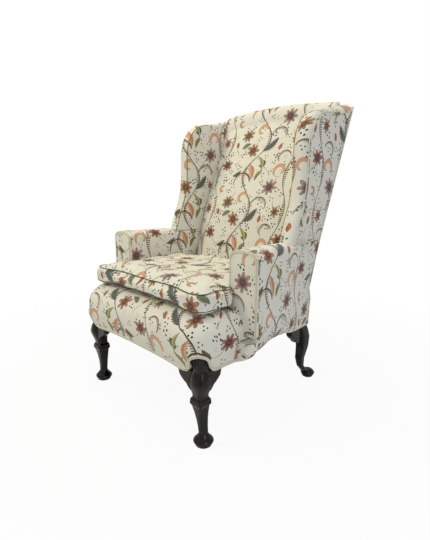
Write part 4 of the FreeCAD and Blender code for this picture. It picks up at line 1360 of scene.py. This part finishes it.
cord_thick = 0.0026
cord_thin = 0.0022
bottom_line = []
bottom_line_up = []
for segment, t, sign in hem_columns:
    low = seat_bottom(segment, t)
    x, y = seat_point(segment, t, low)
    dx, dy = {"side": (1, 0), "front": (0, -1), "arc": (0.7, -0.7)}[segment]
    bottom_line.append(at((x + dx * 1.5) * sign, y + dy * 1.5, low + 1.6))
    x, y = seat_point(segment, t, low + 5.4)
    bottom_line_up.append(at((x + dx * 1.8) * sign, y + dy * 1.8, low + 6.6))
cord("seat_cords", [(bottom_line, False), (bottom_line_up, False)], cord_thick, cream_cord)

panel_outline = arch_outline(arm_inner_x + 3, arm_outer_x - 3, arm_panel_bottom, arm_height - 3,
                             arm_shoulder_z - 8, 22)
panel_edge = [at(x, arm_front_y - 1.0, z) for x, z in panel_outline[:-21]]
panel_edge_in = [at(blend(panel_middle_x, x, 0.925), arm_front_y - 3.4,
                    blend(panel_middle_z, z, 0.968)) for x, z in panel_outline[:-21]]
cord("arm_panel_cords", both(panel_edge) + both(panel_edge_in), 0.0024, cream_cord)

base_path = []
for i in range(50):
    y = blend(-190, 262, i / 49)
    x, z = both_through(base_line, y)
    base_path.append(at(x + 1, y, z + 1.5))
cord("arm_base_cords", both(base_path), cord_thick, cream_cord)

seam_across = []
for i in range(27):
    y = blend(66, back_line(seam_z) - 5, i / 26)
    seam_across.append(at(arm_out(y, seam_z) - 0.5, y, seam_z - 1))
cord("side_seam_cords", both(seam_across), cord_thin, cream_cord)


def along_wing(x, inset, reach):
    """A path that keeps its distance from the wing's front and top edge."""
    path = []
    for i in range(61):
        y, z = wing_line(reach * i / 60)
        ny, nz = wing_inward(reach * i / 60)
        path.append(at(x, y + ny * inset, z + nz * inset))
    return path


cord("wing_outer_cords", both(along_wing(wing_outer_x + 2.4, 18, 1.02)), cord_thin, cream_cord)
# The inner cords on both wings carry the dark olive of painted shade.
cord("wing_inner_cords", both(along_wing(299.6, 6, 0.97)), cord_thin, olive_cord_painted_shade)

back_edge = []
for i in range(81):
    z = blend(back_foot_z + 2, outer_corner_z - 2, i / 80)
    back_edge.append(at(outer_edge(z) - 1.5, back_line(z) - 1.0, z))
top_z = outer_corner_z - 1
top_half = outer_edge(top_z) - 2
top_edge = [at(blend(-top_half, top_half, i / 40), back_line(top_z) - 1.0, top_z)
            for i in range(41)]
back_edges = both(back_edge) + [(top_edge, False)]
cord("back_edge_cords", back_edges, cord_thin, cream_cord)
seams = [(loop_at(cushion.data, z), True) for z in (boxing_top, boxing_bottom)]
cord("cushion_seams", seams, 0.0016, seam_cord, body="cushion")

# %% [markdown]
# Everything that a buyer never sees is still made the way it would be in the workshop:
# beech rails, jute webbing, hessian and a black lining under the seat.
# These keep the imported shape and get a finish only.
# %% Finishes of the hidden parts


def grain_finish(name, colour, other, rough, coat=0.0, scale=9.0):
    """Wood with long grain: stretched noise and fine pores."""
    finish = Finish(name)
    place = finish.place()
    x, y, z = finish.parts(place)
    long = finish.node("ShaderNodeCombineXYZ", None, [x * 6.0, y * 6.0, z * 0.7])
    bands = finish.noise(long, scale, 6.0, Distortion=0.8)
    pores = finish.noise(long, scale * 11, 2.0)
    tint = finish.mix(bands, colour, other)
    values = {"Base Color": tint, "Roughness": rough}
    if coat:
        wear = finish.noise(place, 22.0, 5.0)
        values.update({"Roughness": wear * 0.16 + (rough - 0.08), "Coat Weight": coat,
                       "Coat Roughness": 0.05, "Specular IOR Level": 0.10})
    finish.surface(values, pores, 0.12, 0.0004)
    return finish.material


def jute_finish(name, colour, other, scale):
    finish = Finish(name)
    place = finish.place()
    warp, weft, rise = [finish.wave(way, place, scale, Distortion=1.0) for way in "XYZ"]
    weave = (warp + weft + rise) * 0.33
    finish.surface({"Base Color": finish.mix(weave, colour, other), "Roughness": 0.95},
                   weave, 0.4, 0.0006)
    return finish.material


mahogany = grain_finish("mahogany", rgb(20, 9, 6), rgb(7, 4, 4), 0.30, coat=0.6)
beech = grain_finish("beech", rgb(196, 160, 118), rgb(168, 130, 92), 0.6)
jute = jute_finish("jute_webbing", rgb(186, 160, 112), rgb(140, 112, 72), 170)
hessian = jute_finish("hessian", rgb(196, 172, 128), rgb(160, 134, 92), 230)
lining = plain_finish("black_lining", rgb(34, 34, 36), rgb(22, 22, 24), 60, 0.95)

# %% [markdown]
# The legs and their brackets are cut and carved from solid mahogany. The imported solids
# have every form but crisp machine edges, so each piece is remeshed finely and rubbed
# down a little, as a carver does with sandpaper before the polish.
# %% Carved legs and brackets
show_wood = ("front_leg", "rear_leg", "front_knee_bracket", "side_knee_bracket",
             "rear_leg_bracket")
for stem in show_wood:
    for side in ("left", "right"):
        node = stem + "_" + side
        piece = copy_of(node, node + "_carved")
        low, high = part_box(node)
        reshape(piece, "REMESH", mode="VOXEL", voxel_size=0.0019)
        reshape(piece, "SMOOTH", factor=0.5, iterations=4)
        for vertex in piece.data.vertices:
            for axis in range(3):
                vertex.co[axis] = min(high[axis], max(low[axis], vertex.co[axis]))
        smooth(piece)
        piece.data.materials.append(mahogany)
        dress(piece, "show_wood", node)

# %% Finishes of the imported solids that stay
finish_of = {"dust_cover": lining, "seat_hessian": hessian, "back_hessian": hessian,
             "seat_webbing": jute, "back_webbing": jute}
for name in nodes:
    piece = bpy.data.objects.get(name)
    if piece is None or piece.type != "MESH":
        continue
    piece.data.materials.clear()
    piece.data.materials.append(finish_of.get(name, beech))
